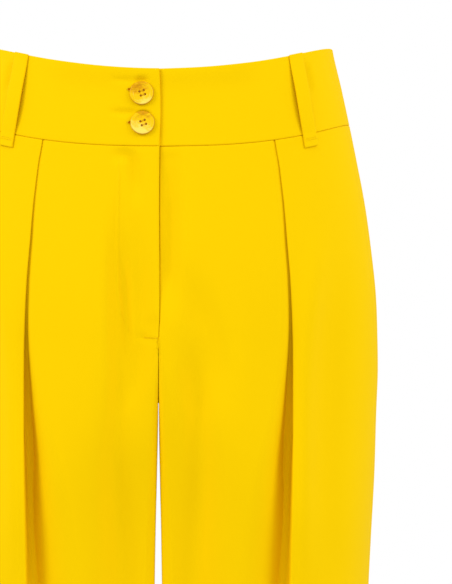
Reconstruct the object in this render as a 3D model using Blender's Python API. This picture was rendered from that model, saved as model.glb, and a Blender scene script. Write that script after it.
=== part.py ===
"""Palazzo trousers, filled out as if worn: high waistband with two buttons, one pleat in each front.

Frame: +X points to the wearer's left, -Y to the front and +Z up. The origin is the middle of the
waist, level with the middle of the waistband at its side seams. All sizes are in metres.

Every cloth piece is a wall on one shared form. The form is a stack of half outlines, each running
from the middle (the centre seam, or the inseam on a leg) round to the side seam. A piece takes its
points from those outlines, at a distance along them and a lift away from them.
"""

import math
from dataclasses import dataclass
from typing import NamedTuple

import bmesh
import bpy
import numpy as np
from mathutils import Matrix, Vector

# Cloth and seams
CLOTH = 0.0012
BAND_CLOTH = 0.0024
SEAM_GAP = 0.0003
HALF_GAP = SEAM_GAP / 2
LAYER_GAP = 0.0004

# Heights, at the side seams
BAND_TOP = 0.0314
BAND_SEAM = -0.030
HEM = -1.030
HEM_TURN_UP = 0.040
HEM_STEP = 0.0005

# How far the waist sits lower in the middle than at the sides, and how quickly it climbs
TOP_DIP = {"front": 0.0257, "back": 0.0100}
SEAM_DIP = {"front": 0.0257, "back": 0.0100}
TOP_DIP_POWER = 2.0
SEAM_DIP_POWER = 2.5
DIP_ENDS = -0.190

# Fly and crotch
FLY_END = -0.205
CROTCH = -0.2525
SEAT_START = -0.160
LAP = 0.0014
UNDERLAP = 0.033
UNDERLAP_INTO_LEFT = 0.020
UNDERLAP_ENDS = 0.006
FLY_STEP = 0.0005
LEFT_FRONT_SINK = 0.0012
LEFT_FRONT_SINK_WIDTH = 0.018
BAND_SINK_WIDTH = 0.022

# The form: half outlines. Below LEG_START each half starts to round into a leg of its own, and from
# LEG_FULL down it is a whole oval. A leg turns in towards its inseam round two corners.
LEG_START = -0.205
LEG_FULL = -0.360
LEG_BELLY = 0.030
SIDE_ROUNDNESS = 2.15
CORNER_MARGIN = 0.004

SECTION_COLUMNS = ("height", "side", "front", "back", "inner", "front_corner", "back_corner")
SECTIONS = (
    (0.0400, 0.1385, 0.0875, 0.0810, 0.00015, 0.0003, 0.0003),
    (0.0310, 0.1398, 0.0880, 0.0815, 0.00015, 0.0003, 0.0003),
    (0.0000, 0.1468, 0.0910, 0.0850, 0.00015, 0.0003, 0.0003),
    (-0.0300, 0.1532, 0.0940, 0.0890, 0.00015, 0.0003, 0.0003),
    (-0.0580, 0.1588, 0.0970, 0.0950, 0.00015, 0.0003, 0.0003),
    (-0.0940, 0.1655, 0.1010, 0.1040, 0.00015, 0.0003, 0.0003),
    (-0.1300, 0.1704, 0.1050, 0.1120, 0.00015, 0.0003, 0.0003),
    (-0.1660, 0.1741, 0.1080, 0.1180, 0.00015, 0.0003, 0.0020),
    (-0.2020, 0.1753, 0.1095, 0.1200, 0.00015, 0.0003, 0.0080),
    (-0.2260, 0.1755, 0.1095, 0.1195, 0.00015, 0.0024, 0.0120),
    (-0.2580, 0.1742, 0.1080, 0.1170, 0.00025, 0.0050, 0.0160),
    (-0.3100, 0.1724, 0.1045, 0.1110, 0.00120, 0.0080, 0.0200),
    (-0.3580, 0.1696, 0.1020, 0.1065, 0.00230, 0.0100, 0.0220),
    (-0.3960, 0.1676, 0.1005, 0.1040, 0.00290, 0.0115, 0.0240),
    (-0.5000, 0.1655, 0.0985, 0.1010, 0.00480, 0.0160, 0.0280),
    (-0.6200, 0.1665, 0.0985, 0.1010, 0.00650, 0.0200, 0.0300),
    (-0.7800, 0.1730, 0.1010, 0.1040, 0.00850, 0.0240, 0.0320),
    (-0.9000, 0.1795, 0.1045, 0.1075, 0.00980, 0.0260, 0.0330),
    (-1.0300, 0.1870, 0.1090, 0.1120, 0.01050, 0.0280, 0.0340),
)

# The front pleat. Its lip is the folded edge of the outer part, and the inner part runs in under it.
LIP_RADIUS = 0.0014
PLEAT_SHARE = 0.585
DIVE_PULL = 0.45
FOOT_SHORT = -1.5
PLEAT_COLUMNS = ("height", "lip", "under", "depth", "mouth", "radius", "dive")
PLEAT = (
    (-0.040, 0.0820, 0.0140, 0.0036, 0.0095, 0.00035, 0.0),
    (-0.055, 0.0866, 0.0138, 0.0036, 0.0095, 0.00040, 0.0),
    (-0.067, 0.0904, 0.0132, 0.0037, 0.0095, 0.00040, 0.0),
    (-0.082, 0.0938, 0.0127, 0.0038, 0.0095, 0.00045, 0.0),
    (-0.100, 0.0964, 0.0120, 0.0040, 0.0095, 0.00050, 0.0),
    (-0.130, 0.0995, 0.0100, 0.0048, 0.0100, 0.00060, 5.0),
    (-0.160, 0.1027, 0.0080, 0.0062, 0.0110, 0.00080, 10.0),
    (-0.200, 0.1042, 0.0040, 0.0085, 0.0130, 0.00120, 20.0),
    (-0.250, 0.1048, -0.0005, 0.0130, 0.0180, 0.00200, 30.0),
    (-0.310, 0.1044, -0.0065, 0.0170, 0.0260, 0.00300, 38.0),
    (-0.360, 0.1030, -0.0095, 0.0190, 0.0320, 0.00400, 42.0),
    (-0.400, 0.1024, -0.0100, 0.0200, 0.0360, 0.00500, 42.0),
    (-0.550, 0.0995, -0.0110, 0.0190, 0.0440, 0.00700, 38.0),
    (-0.800, 0.0990, -0.0120, 0.0160, 0.0500, 0.00900, 30.0),
    (-1.030, 0.1010, -0.0120, 0.0140, 0.0520, 0.01000, 25.0),
)


class Drape(NamedTuple):
    """A soft fold of a hanging leg, from its start down to the hem, where its lift is greatest.

    Where it lies and how wide it is are shares of the way from the inseam to the side seam.
    """

    face: str
    where: float
    width: float
    lift: float
    starts: float


DRAPES = (
    Drape("front", 0.17, 0.060, -0.0030, -0.40),
    Drape("front", 0.38, 0.050, 0.0025, -0.45),
    Drape("front", 0.74, 0.055, 0.0030, -0.42),
    Drape("front", 0.87, 0.045, -0.0040, -0.50),
    Drape("back", 0.15, 0.060, -0.0030, -0.45),
    Drape("back", 0.37, 0.060, 0.0050, -0.36),
    Drape("back", 0.53, 0.055, -0.0055, -0.40),
    Drape("back", 0.68, 0.050, 0.0040, -0.45),
    Drape("back", 0.84, 0.050, -0.0045, -0.50),
)


# Belt loops
LOOP_WIDTH = 0.0126
LOOP_CLOTH = 0.0016
LOOP_TAIL = 0.011
LOOP_CLEAR = 0.0005
LOOP_ARCH = 0.0080
LOOP_ARCH_STARTS = 0.06
LOOP_ARCH_ENDS = 0.84


class Loop(NamedTuple):
    """A belt loop. Its top and its foot sit at a share of the half width."""

    name: str
    face: str
    mirrored: bool
    top_share: float
    foot_share: float


LOOPS = (
    Loop("belt_loop_front_left", "front", False, 0.768, 0.769),
    Loop("belt_loop_front_right", "front", True, 0.768, 0.769),
    Loop("belt_loop_back_left", "back", False, 0.700, 0.680),
    Loop("belt_loop_back_right", "back", True, 0.700, 0.680),
    Loop("belt_loop_back_centre", "back", False, 0.0, 0.0),
)


# Buttons, on the right end of the band
BUTTON_DIAMETER = 0.019
BUTTON_THICKNESS = 0.0028
BUTTON_RIM = 0.0022
BUTTON_DISH = 0.0007
BUTTON_HOLE = 0.0018
BUTTON_HOLE_PITCH = 0.0034
BUTTON_TURN = math.radians(20)
BUTTON_CLEAR = 0.0005
BUTTON_SIDES = 24


class ButtonSpot(NamedTuple):
    """A button and the place of its middle on the band."""

    name: str
    from_centre: float
    height: float


BUTTONS = (
    ButtonSpot("button_upper", 0.0122, 0.0116),
    ButtonSpot("button_lower", 0.0115, -0.0119),
)


# How many points each piece has, and where the rows of the thigh lie
WALL_STEPS = 3
CORNER_STEPS = 4
INNER_STEPS = 6
DIVE_STEPS = 5
FOLD_STEPS = 4
LIP_STEPS = 5
OUTER_STEPS = 7
BACK_STEPS = 12
COLUMN_LEAST = 0.00012
FRONT_TOP_ROWS = 8
FRONT_CROTCH_ROWS = 6
BACK_TOP_ROWS = 6
BACK_CROTCH_ROWS = 7
THIGH_ROWS = (-0.272, -0.292, -0.318, -0.350, -0.390)
SHIN_ROWS = 7
BAND_STEPS = 14
BAND_ROWS = 5
UNDERLAP_STEPS = 6
UNDERLAP_ROWS = 8
LOOP_STEPS = 14

YELLOW = (0.95, 0.62, 0.01, 1.0)
BUTTON_YELLOW = (0.93, 0.64, 0.08, 1.0)


def read(table, names, column, height):
    """One column of a table at some height, on a smooth curve through the table's rows."""
    heights = np.array([row[0] for row in table])[::-1]
    values = np.array([row[names.index(column)] for row in table])[::-1]
    slopes = np.gradient(values, heights)
    at = float(np.clip(height, heights[0], heights[-1]))
    i = int(np.clip(np.searchsorted(heights, at) - 1, 0, len(heights) - 2))
    span = heights[i + 1] - heights[i]
    t = (at - heights[i]) / span
    return float(
        (2 * t**3 - 3 * t**2 + 1) * values[i]
        + (t**3 - 2 * t**2 + t) * span * slopes[i]
        + (3 * t**2 - 2 * t**3) * values[i + 1]
        + (t**3 - t**2) * span * slopes[i + 1]
    )


def smoothstep(t):
    """0 below 0, 1 above 1, and a smooth climb between."""
    t = min(max(t, 0.0), 1.0)
    return t * t * (3 - 2 * t)


@dataclass(frozen=True)
class Face:
    """The front or the back half of the form. Its centre seam turns under from the height of rise."""

    name: str
    outward: float
    rise: float


FRONT = Face("front", -1.0, FLY_END)
BACK = Face("back", 1.0, SEAT_START)
FACES = {face.name: face for face in (FRONT, BACK)}


class Section:
    """Half an outline at one height, from the centre seam or inseam round to the side seam.

    From the height of the face's rise down it begins with a wall that faces the other leg. Above the
    crotch that wall ends at the centre seam, which curves under from there to the crotch.
    """

    CORNER_STEPS = 16
    FRONT_STEPS = 24
    SIDE_STEPS = 60
    PROBE = 0.0004

    def __init__(self, face, height):
        self.face = face
        self.joined = height >= face.rise
        self.side = read(SECTIONS, SECTION_COLUMNS, "side", height)
        self.depth = read(SECTIONS, SECTION_COLUMNS, face.name, height)
        self.inner = read(SECTIONS, SECTION_COLUMNS, "inner", height)
        self.corner = read(SECTIONS, SECTION_COLUMNS, face.name + "_corner", height)
        self.swell = smoothstep((LEG_START - height) / (LEG_START - LEG_FULL))
        self.middle = self.inner + self.swell * (self.side - self.inner) / 2
        points = self.joined_points() if self.joined else self.leg_points()
        self.x, self.y = np.array(points).T
        self.arc = np.concatenate([[0], np.cumsum(np.hypot(np.diff(self.x), np.diff(self.y)))])
        self.start = 0.0
        if not self.joined:
            under = min((face.rise - height) / (face.rise - CROTCH), 1.0)
            edge = self.corner_top * math.sqrt(1 - under * under)
            peak = int(np.argmax(self.y))
            self.start = float(np.interp(edge, self.y[: peak + 1], self.arc[: peak + 1])) + HALF_GAP
        self.length = float(self.arc[-1] - self.start)

    def face_y(self, x):
        """Depth of the outline's outer face at this x."""
        if x <= self.middle:
            reach = max(self.middle - self.inner, 1e-6)
            return self.depth * (1 - LEG_BELLY * self.swell * ((self.middle - x) / reach) ** 2)
        u = min((x - self.middle) / (self.side - self.middle), 1.0)
        return self.depth * (1 - u**SIDE_ROUNDNESS) ** (1 / SIDE_ROUNDNESS)

    def side_points(self):
        """The outline's outer round, from its middle to the side seam."""
        made = []
        for turn in np.linspace(0, math.pi / 2, self.SIDE_STEPS):
            x = self.middle + (self.side - self.middle) * math.sin(turn) ** (2 / SIDE_ROUNDNESS)
            made.append((x, self.depth * abs(math.cos(turn)) ** (2 / SIDE_ROUNDNESS)))
        return made

    def joined_points(self):
        """The outline where both halves meet in a centre seam."""
        return [(0.0, self.face_y(0.0)), *self.side_points()]

    def leg_points(self):
        """The outline of a leg's front or back: its inner wall, its corner and its face."""
        turned_at = self.inner + self.corner
        slope = (self.face_y(turned_at + self.PROBE) - self.face_y(turned_at)) / self.PROBE
        tilt = math.atan(max(slope, 0.0))
        ends_at = turned_at - self.corner * math.sin(tilt)
        centre_y = self.face_y(ends_at) - self.corner * math.cos(tilt)
        made = [(self.inner, 0.0)]
        for turn in np.linspace(0, math.pi / 2 - tilt, self.CORNER_STEPS):
            x = turned_at - self.corner * math.cos(turn)
            made.append((x, centre_y + self.corner * math.sin(turn)))
        self.corner_top = made[-1][1]
        if self.middle > ends_at:
            face = np.linspace(ends_at, self.middle, self.FRONT_STEPS)[1:-1]
            made += [(x, self.face_y(x)) for x in face]
        return made + [p for p in self.side_points() if p[0] > ends_at + self.PROBE]

    def flat_point(self, along):
        """(x, y) at a distance from the middle. Less than 0 carries on across the middle."""
        at = self.start + abs(along)
        x = float(np.interp(at, self.arc, self.x))
        y = float(np.interp(at, self.arc, self.y))
        return (x if along >= 0 else -x), y * self.face.outward

    def frame(self, along):
        """The point at that distance, the way along and the way out, each as (x, y)."""
        lowest = -math.inf if self.joined else 0.0
        here = self.flat_point(along)
        behind = self.flat_point(max(along - self.PROBE, lowest))
        ahead = self.flat_point(min(along + self.PROBE, self.length))
        way = np.array(ahead) - np.array(behind)
        way /= np.hypot(*way)
        out = self.face.outward * np.array([-way[1], way[0]])
        return np.array(here), way, out

    def along_at(self, x):
        """Distance from the middle to the place where the outline has this x."""
        return float(np.interp(x, self.x, self.arc)) - self.start

    def wall_columns(self, edge):
        """Distances of the columns from an edge, along the inner wall and round the corner."""
        foot = 0.0 if self.joined else float(self.arc[1]) - self.start
        foot = max(foot, edge + WALL_STEPS * COLUMN_LEAST)
        last = max(self.along_at(self.inner + self.corner + CORNER_MARGIN), foot + CORNER_MARGIN)
        up_wall = np.linspace(edge, foot, WALL_STEPS + 1)
        return [*up_wall, *np.linspace(foot, last, CORNER_STEPS + 1)[1:]]


def dip(face, share, height):
    """How far a line round the waist drops at this share of the half width."""
    down = smoothstep((BAND_TOP - height) / (BAND_TOP - BAND_SEAM))
    deep = TOP_DIP[face.name] + (SEAM_DIP[face.name] - TOP_DIP[face.name]) * down
    power = TOP_DIP_POWER + (SEAM_DIP_POWER - TOP_DIP_POWER) * down
    fade = 1 - smoothstep((BAND_SEAM - height) / (BAND_SEAM - DIP_ENDS))
    return deep * fade * (1 - min(abs(share), 1.0) ** power)


@dataclass
class Stitch:
    """One point of a piece's cross-section: along the outline, lifted off it, and which way is out."""

    along: float
    lift: float = 0.0
    out_along: float = 0.0
    out_lift: float = 1.0


def place(face, height, stitch, thickness, mirrored):
    """The outer and the inner point of a wall at one place of its cross-section."""
    level = Section(face, height)
    share = level.flat_point(stitch.along)[0] / level.side
    z = height - dip(face, share, height)
    section = Section(face, z) if height > DIP_ENDS else level
    stretch = section.length / level.length
    at, way, out = section.frame(stitch.along * stretch)
    outer = at + stitch.lift * out
    inner = outer - thickness * (stitch.out_along * way + stitch.out_lift * out)
    turn = -1.0 if mirrored else 1.0
    return (turn * outer[0], outer[1], z), (turn * inner[0], inner[1], z)


def heading(angle):
    """Unit vector (along, lift) of a direction."""
    return np.array([math.cos(angle), math.sin(angle)])


def left_of(way):
    """The way at a quarter turn to the left, which is outward on a piece's outer face."""
    return np.array([-way[1], way[0]])


def arc_stitches(centre, radius, first, last, count, side):
    """Points round a fold, at count headings from first to last. A turn to the left has side 1."""
    made = []
    for angle in np.linspace(first, last, count):
        out = left_of(heading(angle))
        at = np.array(centre) - side * radius * out
        made.append(Stitch(at[0], at[1], out[0], out[1]))
    return made


def pleat_stitches(height):
    """The pleat's cross-section, from its mouth in under the lip and back out over it.

    Distances are from the lip. Down from (-mouth, 0) to the fold, round it, back up to the lip's
    underside, and round the lip to (0, 0).
    """
    names = PLEAT_COLUMNS[2:]
    under, depth, mouth, radius, dive = (read(PLEAT, PLEAT_COLUMNS, n, height) for n in names)
    first = -math.radians(dive)
    fold = np.array([under, radius - depth])
    lip = np.array([0.0, -LIP_RADIUS])
    start = fold - radius * left_of(heading(first))
    foot = np.array([min(start[0], FOOT_SHORT * LIP_RADIUS), start[1]])
    if foot[0] == start[0]:
        foot = start - COLUMN_LEAST * heading(first)
    begin = np.array([-mouth, 0.0])
    reach = (foot[0] - begin[0]) / 2
    control_1 = begin + [reach, 0.0]
    control_2 = foot - DIVE_PULL * reach * heading(first)
    made = []
    for t in np.linspace(0, 1, DIVE_STEPS + 1):
        parts = ((1 - t) ** 3, 3 * t * (1 - t) ** 2, 3 * t * t * (1 - t), t**3)
        points = (begin, control_1, control_2, foot)
        at = sum(part * point for part, point in zip(parts, points))
        pull = ((1 - t) ** 2, 2 * t * (1 - t), t * t)
        way = sum(part * (b - a) for part, a, b in zip(pull, points, points[1:]))
        out = left_of(way / np.hypot(*way))
        made.append(Stitch(at[0], at[1], out[0], out[1]))
    apart = lip - fold
    far = np.hypot(*apart)
    turn = math.asin(min((radius + LIP_RADIUS) / far, 1.0))
    back = math.atan2(apart[1], apart[0]) % (2 * math.pi) + turn
    made += arc_stitches(fold, radius, first, back, FOLD_STEPS, 1)
    made += arc_stitches(lip, LIP_RADIUS, back, 0.0, LIP_STEPS, -1)
    return made


def fly_edge(height, right):
    """Where a front's middle edge lies: past the middle on the right front down to the fly's end."""
    if height <= FLY_END:
        return 0.0
    return -(LAP + HALF_GAP) if right else LAP + 3 * HALF_GAP


def draped(stitches, face, height, length):
    """Lifts and sinks a leg's cloth in the soft folds that it hangs in."""
    for stitch in stitches:
        for drape in DRAPES:
            if drape.face != face.name or height >= drape.starts:
                continue
            grown = smoothstep((drape.starts - height) / (drape.starts - HEM))
            away = (stitch.along / length - drape.where) / drape.width
            stitch.lift += drape.lift * grown * math.exp(-away * away)
    return stitches


def front_stitches(height, right):
    """Cross-section of a front, from the fly or inseam, through the pleat, to the side seam."""
    section = Section(FRONT, height)
    level = height - dip(FRONT, PLEAT_SHARE, height)
    lip = section.along_at(read(PLEAT, PLEAT_COLUMNS, "lip", level))
    mouth = read(PLEAT, PLEAT_COLUMNS, "mouth", level)
    edge = fly_edge(height, right)
    made = [Stitch(at) for at in section.wall_columns(edge)]
    inner_part = np.linspace(made[-1].along, lip - mouth, INNER_STEPS + 1)
    made += [Stitch(at) for at in inner_part[1:-1]]
    for stitch in pleat_stitches(level):
        stitch.along += lip
        made.append(stitch)
    made += [Stitch(at) for at in np.linspace(lip, section.length, OUTER_STEPS + 1)[1:]]
    if height > FLY_END and not right:
        fade = smoothstep((height - FLY_END) / LEFT_FRONT_SINK_WIDTH)
        for stitch in made:
            sink = 1 - smoothstep((stitch.along - edge) / LEFT_FRONT_SINK_WIDTH)
            stitch.lift -= LEFT_FRONT_SINK * sink * fade
    return draped(made, FRONT, height, section.length)


def back_stitches(height):
    """Cross-section of a back, from the seat seam or inseam to the side seam."""
    section = Section(BACK, height)
    made = [Stitch(at) for at in section.wall_columns(HALF_GAP if section.joined else 0.0)]
    outer_part = np.linspace(made[-1].along, section.length, BACK_STEPS + 1)
    made += [Stitch(at) for at in outer_part[1:]]
    return draped(made, BACK, height, section.length)


def side_seam(stitches, section_length):
    """Pulls the last point back by half the seam's gap."""
    stitches[-1].along = section_length - HALF_GAP
    return stitches


def leg_heights(rise, top_rows, crotch_rows):
    """Heights of a leg piece's rows: evenly to where its centre seam turns under, close round the
    crotch, and further apart down the leg to the hem."""
    above = np.linspace(BAND_SEAM - HALF_GAP, rise, top_rows)
    turn = np.linspace(0, math.pi / 2, crotch_rows + 1)[1:]
    round_crotch = rise - (rise - CROTCH) * np.sin(turn)
    turned_up = HEM + HEM_TURN_UP
    shin = np.linspace(THIGH_ROWS[-1], turned_up, SHIN_ROWS + 1)[1:]
    return [*above, *round_crotch, *THIGH_ROWS, *shin, turned_up - HEM_STEP, HEM]


def leg_cloth(height):
    """Wall thickness of a leg: two layers where the hem is turned up."""
    return CLOTH if height > HEM + HEM_TURN_UP - HEM_STEP / 2 else 2 * CLOTH


def wall(name, outer, inner, material):
    """A closed wall between two grids of points, added to the scene as one object."""
    rows, columns = len(outer), len(outer[0])
    mesh = bpy.data.meshes.new(name)
    shell = bmesh.new()
    out = [[shell.verts.new(p) for p in row] for row in outer]
    into = [[shell.verts.new(p) for p in row] for row in inner]
    for r in range(rows - 1):
        for c in range(columns - 1):
            shell.faces.new((out[r][c], out[r + 1][c], out[r + 1][c + 1], out[r][c + 1]))
            shell.faces.new((into[r][c], into[r][c + 1], into[r + 1][c + 1], into[r + 1][c]))
    for r in range(rows - 1):
        shell.faces.new((out[r][0], into[r][0], into[r + 1][0], out[r + 1][0]))
        shell.faces.new((out[r][-1], out[r + 1][-1], into[r + 1][-1], into[r][-1]))
    for c in range(columns - 1):
        shell.faces.new((out[0][c], out[0][c + 1], into[0][c + 1], into[0][c]))
        shell.faces.new((out[-1][c], into[-1][c], into[-1][c + 1], out[-1][c + 1]))
    if shell.calc_volume(signed=True) < 0:
        bmesh.ops.reverse_faces(shell, faces=shell.faces)
    shell.to_mesh(mesh)
    shell.free()
    mesh.materials.append(material)
    mesh.shade_smooth()
    mesh.set_sharp_from_angle(angle=math.radians(50))
    made = bpy.data.objects.new(name, mesh)
    bpy.context.scene.collection.objects.link(made)
    return made


def leg_piece(name, face, heights, stitches_at, mirrored, material):
    """A front or a back of one leg."""
    outer, inner = [], []
    for height in heights:
        stitches = side_seam(stitches_at(height), Section(face, height).length)
        pairs = [place(face, height, s, leg_cloth(height), mirrored) for s in stitches]
        outer.append([pair[0] for pair in pairs])
        inner.append([pair[1] for pair in pairs])
    return wall(name, outer, inner, material)


def front_heights():
    """The rows of a front, with the step at the fly's end taken in a single millimetre."""
    rows = leg_heights(FRONT.rise, FRONT_TOP_ROWS, FRONT_CROTCH_ROWS)
    rows = [height for height in rows if abs(height - FLY_END) > FLY_STEP]
    return sorted([*rows, FLY_END + FLY_STEP, FLY_END - FLY_STEP], reverse=True)


def legs(material):
    """The four pieces of the legs."""
    fronts = front_heights()
    backs = leg_heights(BACK.rise, BACK_TOP_ROWS, BACK_CROTCH_ROWS)
    for name, right in (("front_left", False), ("front_right", True)):
        leg_piece(name, FRONT, fronts, lambda h, r=right: front_stitches(h, r), right, material)
    for name, right in (("back_left", False), ("back_right", True)):
        leg_piece(name, BACK, backs, back_stitches, right, material)


def band_heights():
    """Heights of the waistband's rows."""
    return np.linspace(BAND_TOP, BAND_SEAM + HALF_GAP, BAND_ROWS)


def band_piece(name, face, alongs_at, lift_at, mirrored, material):
    """A stretch of the waistband. alongs_at gives its points for the outline's length."""
    outer, inner = [], []
    for height in band_heights():
        length = Section(face, height).length
        stitches = [Stitch(at, lift_at(at)) for at in alongs_at(length)]
        pairs = [place(face, height, s, BAND_CLOTH, mirrored) for s in stitches]
        outer.append([pair[0] for pair in pairs])
        inner.append([pair[1] for pair in pairs])
    return wall(name, outer, inner, material)


def band_sink(along):
    """How the left end of the band goes in under the right one."""
    deep = BAND_CLOTH + LAYER_GAP
    return -deep * (1 - smoothstep((along - LAP - 2 * HALF_GAP) / BAND_SINK_WIDTH))


def waistband(material):
    """The band: a right end that laps over, a left end that runs under it, and the back."""
    def right_end(length):
        return np.linspace(-(LAP + HALF_GAP), length - HALF_GAP, BAND_STEPS + 1)

    def left_end(length):
        under = np.linspace(-UNDERLAP, LAP + HALF_GAP, 5)
        climb = np.linspace(LAP + HALF_GAP, LAP + BAND_SINK_WIDTH, 7)[1:]
        rest = np.linspace(LAP + BAND_SINK_WIDTH, length - HALF_GAP, BAND_STEPS - 2)[1:]
        return [*under, *climb, *rest]

    def back(length):
        return np.linspace(HALF_GAP - length, length - HALF_GAP, 2 * BAND_STEPS + 1)

    band_piece("waistband_right", FRONT, right_end, lambda at: 0.0, True, material)
    band_piece("waistband_left", FRONT, left_end, band_sink, False, material)
    band_piece("waistband_back", BACK, back, lambda at: 0.0, False, material)


def fly_underlap(material):
    """The strip behind the fly, under the edges of both fronts."""
    lift = -(LEFT_FRONT_SINK + CLOTH + LAYER_GAP)
    outer, inner = [], []
    for height in np.linspace(BAND_SEAM - HALF_GAP, FLY_END + UNDERLAP_ENDS, UNDERLAP_ROWS):
        alongs = np.linspace(-UNDERLAP, UNDERLAP_INTO_LEFT, UNDERLAP_STEPS + 1)
        pairs = [place(FRONT, height, Stitch(at, lift), CLOTH, False) for at in alongs]
        outer.append([pair[0] for pair in pairs])
        inner.append([pair[1] for pair in pairs])
    wall("fly_underlap", outer, inner, material)


def loop_arch(q):
    """How far a belt loop stands off at a share q of its length, from its top."""
    u = (q - LOOP_ARCH_STARTS) / (LOOP_ARCH_ENDS - LOOP_ARCH_STARTS)
    return LOOP_ARCH * math.sin(math.pi * u**1.15) ** 0.9 if 0 < u < 1 else 0.0


def belt_loop(loop, material):
    """A belt loop: a folded strip that stands off the band in an arch and is sewn at both ends."""
    face = FACES[loop.face]
    lowest = BAND_SEAM - LOOP_TAIL
    outer, inner = [], []
    for q in np.linspace(0, 1, LOOP_STEPS + 1):
        height = BAND_TOP + q * (lowest - BAND_TOP)
        share = loop.top_share + q * (loop.foot_share - loop.top_share)
        section = Section(face, height)
        z = height - dip(face, share, height)
        level = Section(face, z)
        at, way, out = level.frame(level.along_at(max(share * section.side, HALF_GAP)))
        if share == 0.0:
            at[0], way, out = 0.0, np.array([1.0, 0.0]), np.array([0.0, face.outward])
        turn = -1.0 if loop.mirrored else 1.0
        bow = loop_arch(q) * np.array([0.0, face.outward])
        for grid, lift in ((outer, LOOP_CLEAR + LOOP_CLOTH), (inner, LOOP_CLEAR)):
            row = []
            for across in (-LOOP_WIDTH / 2, LOOP_WIDTH / 2):
                x, y = at + across * way + lift * out + bow
                row.append((turn * x, y, height - dip(face, x / section.side, height)))
            grid.append(row)
    wall(loop.name, outer, inner, material)


def belt_loops(material):
    """Two loops in front, two behind and one on the centre back seam."""
    for loop in LOOPS:
        belt_loop(loop, material)


def button_profile():
    """(radius, height) of a button's turned face, from the middle of its back round to its front."""
    radius = BUTTON_DIAMETER / 2
    top = BUTTON_THICKNESS
    return (
        (0.0, 0.0),
        (radius - 0.0012, 0.0),
        (radius - 0.0003, 0.0006),
        (radius, 0.0013),
        (radius - 0.0003, top - 0.0004),
        (radius - 0.0010, top),
        (radius - BUTTON_RIM, top - 0.0001),
        (radius - BUTTON_RIM - 0.0010, top - BUTTON_DISH),
        (0.0, top - BUTTON_DISH),
    )


def turned(name, profile, sides):
    """A closed solid turned round +Z from a profile that starts and ends on the axis."""
    mesh = bpy.data.meshes.new(name)
    solid = bmesh.new()
    line = [solid.verts.new((r, 0.0, z)) for r, z in profile]
    edges = [solid.edges.new(pair) for pair in zip(line, line[1:])]
    full = 2 * math.pi
    bmesh.ops.spin(
        solid, geom=line + edges, cent=(0, 0, 0), axis=(0, 0, 1), angle=full, steps=sides, use_merge=True
    )
    bmesh.ops.remove_doubles(solid, verts=solid.verts, dist=1e-5)
    bmesh.ops.recalc_face_normals(solid, faces=solid.faces)
    solid.to_mesh(mesh)
    solid.free()
    made = bpy.data.objects.new(name, mesh)
    bpy.context.scene.collection.objects.link(made)
    return made


def hole_cutter(name):
    """Four pegs that cut a button's holes."""
    mesh = bpy.data.meshes.new(name)
    pegs = bmesh.new()
    for i in range(4):
        angle = BUTTON_TURN + math.pi / 4 + i * math.pi / 2
        reach = BUTTON_HOLE_PITCH / math.sqrt(2)
        where = Matrix.Translation((reach * math.cos(angle), reach * math.sin(angle), 0.0))
        bmesh.ops.create_cone(
            pegs,
            cap_ends=True,
            segments=8,
            radius1=BUTTON_HOLE / 2,
            radius2=BUTTON_HOLE / 2,
            depth=4 * BUTTON_THICKNESS,
            matrix=where,
        )
    pegs.to_mesh(mesh)
    pegs.free()
    cutter = bpy.data.objects.new(name, mesh)
    bpy.context.scene.collection.objects.link(cutter)
    cutter.hide_render = True
    cutter.display_type = "WIRE"
    return cutter


def band_frame(from_centre, height):
    """A spot on the right end of the band, with the ways across, up and out of the cloth there."""
    reach = BUTTON_DIAMETER / 2
    spots = [
        Vector(place(FRONT, height + rise, Stitch(from_centre + side), BAND_CLOTH, True)[0])
        for side, rise in ((0, 0), (-reach, 0), (reach, 0), (0, -reach), (0, reach))
    ]
    across = (spots[1] - spots[2]).normalized()
    out = across.cross(spots[4] - spots[3]).normalized()
    return spots[0], across, out.cross(across), out


def button(spot, cutter, material):
    """A four-hole button, lying on the right end of the band."""
    disc = turned(spot.name, button_profile(), BUTTON_SIDES)
    disc.data.materials.append(material)
    disc.data.shade_smooth()
    disc.data.set_sharp_from_angle(angle=math.radians(40))
    at, across, up, out = band_frame(spot.from_centre, spot.height)
    turn = Matrix((across, up, out)).transposed().to_4x4()
    disc.matrix_world = Matrix.Translation(at + BUTTON_CLEAR * out) @ turn
    holes = disc.modifiers.new("holes", "BOOLEAN")
    holes.operation = "DIFFERENCE"
    peg = cutter.copy()
    peg.name = spot.name + "_holes"
    peg.matrix_world = disc.matrix_world
    bpy.context.scene.collection.objects.link(peg)
    holes.object = peg


def buttons(material):
    """Both buttons of the band."""
    cutter = hole_cutter("button_holes")
    for spot in BUTTONS:
        button(spot, cutter, material)


def finish(name, colour, roughness):
    """A plain material."""
    material = bpy.data.materials.new(name)
    material.use_nodes = True
    shader = material.node_tree.nodes["Principled BSDF"]
    shader.inputs["Base Color"].default_value = colour
    shader.inputs["Roughness"].default_value = roughness
    shader.inputs["Metallic"].default_value = 0.0
    return material


def main():
    for old in list(bpy.data.objects):
        bpy.data.objects.remove(old)
    cloth = finish("suiting", YELLOW, 0.75)
    horn = finish("button_resin", BUTTON_YELLOW, 0.3)
    legs(cloth)
    waistband(cloth)
    fly_underlap(cloth)
    belt_loops(cloth)
    buttons(horn)


main()
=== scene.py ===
"""Looks for the palazzo trousers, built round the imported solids.

Frame: +X points to the wearer's left, -Y to the front and +Z up. The origin is the middle of the
waist. All sizes are in metres. The cloth is a thin wall on one shared form, as it is in the solids,
with a finer grid, rolled seams, creases, a facing and hems, and the sewing lies on top of it.
"""

import logging
import math
from dataclasses import dataclass, field
from enum import Enum
from typing import Callable, Iterable, Sequence
import bmesh
import bpy
import numpy as np
from mathutils import Matrix, Vector


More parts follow.
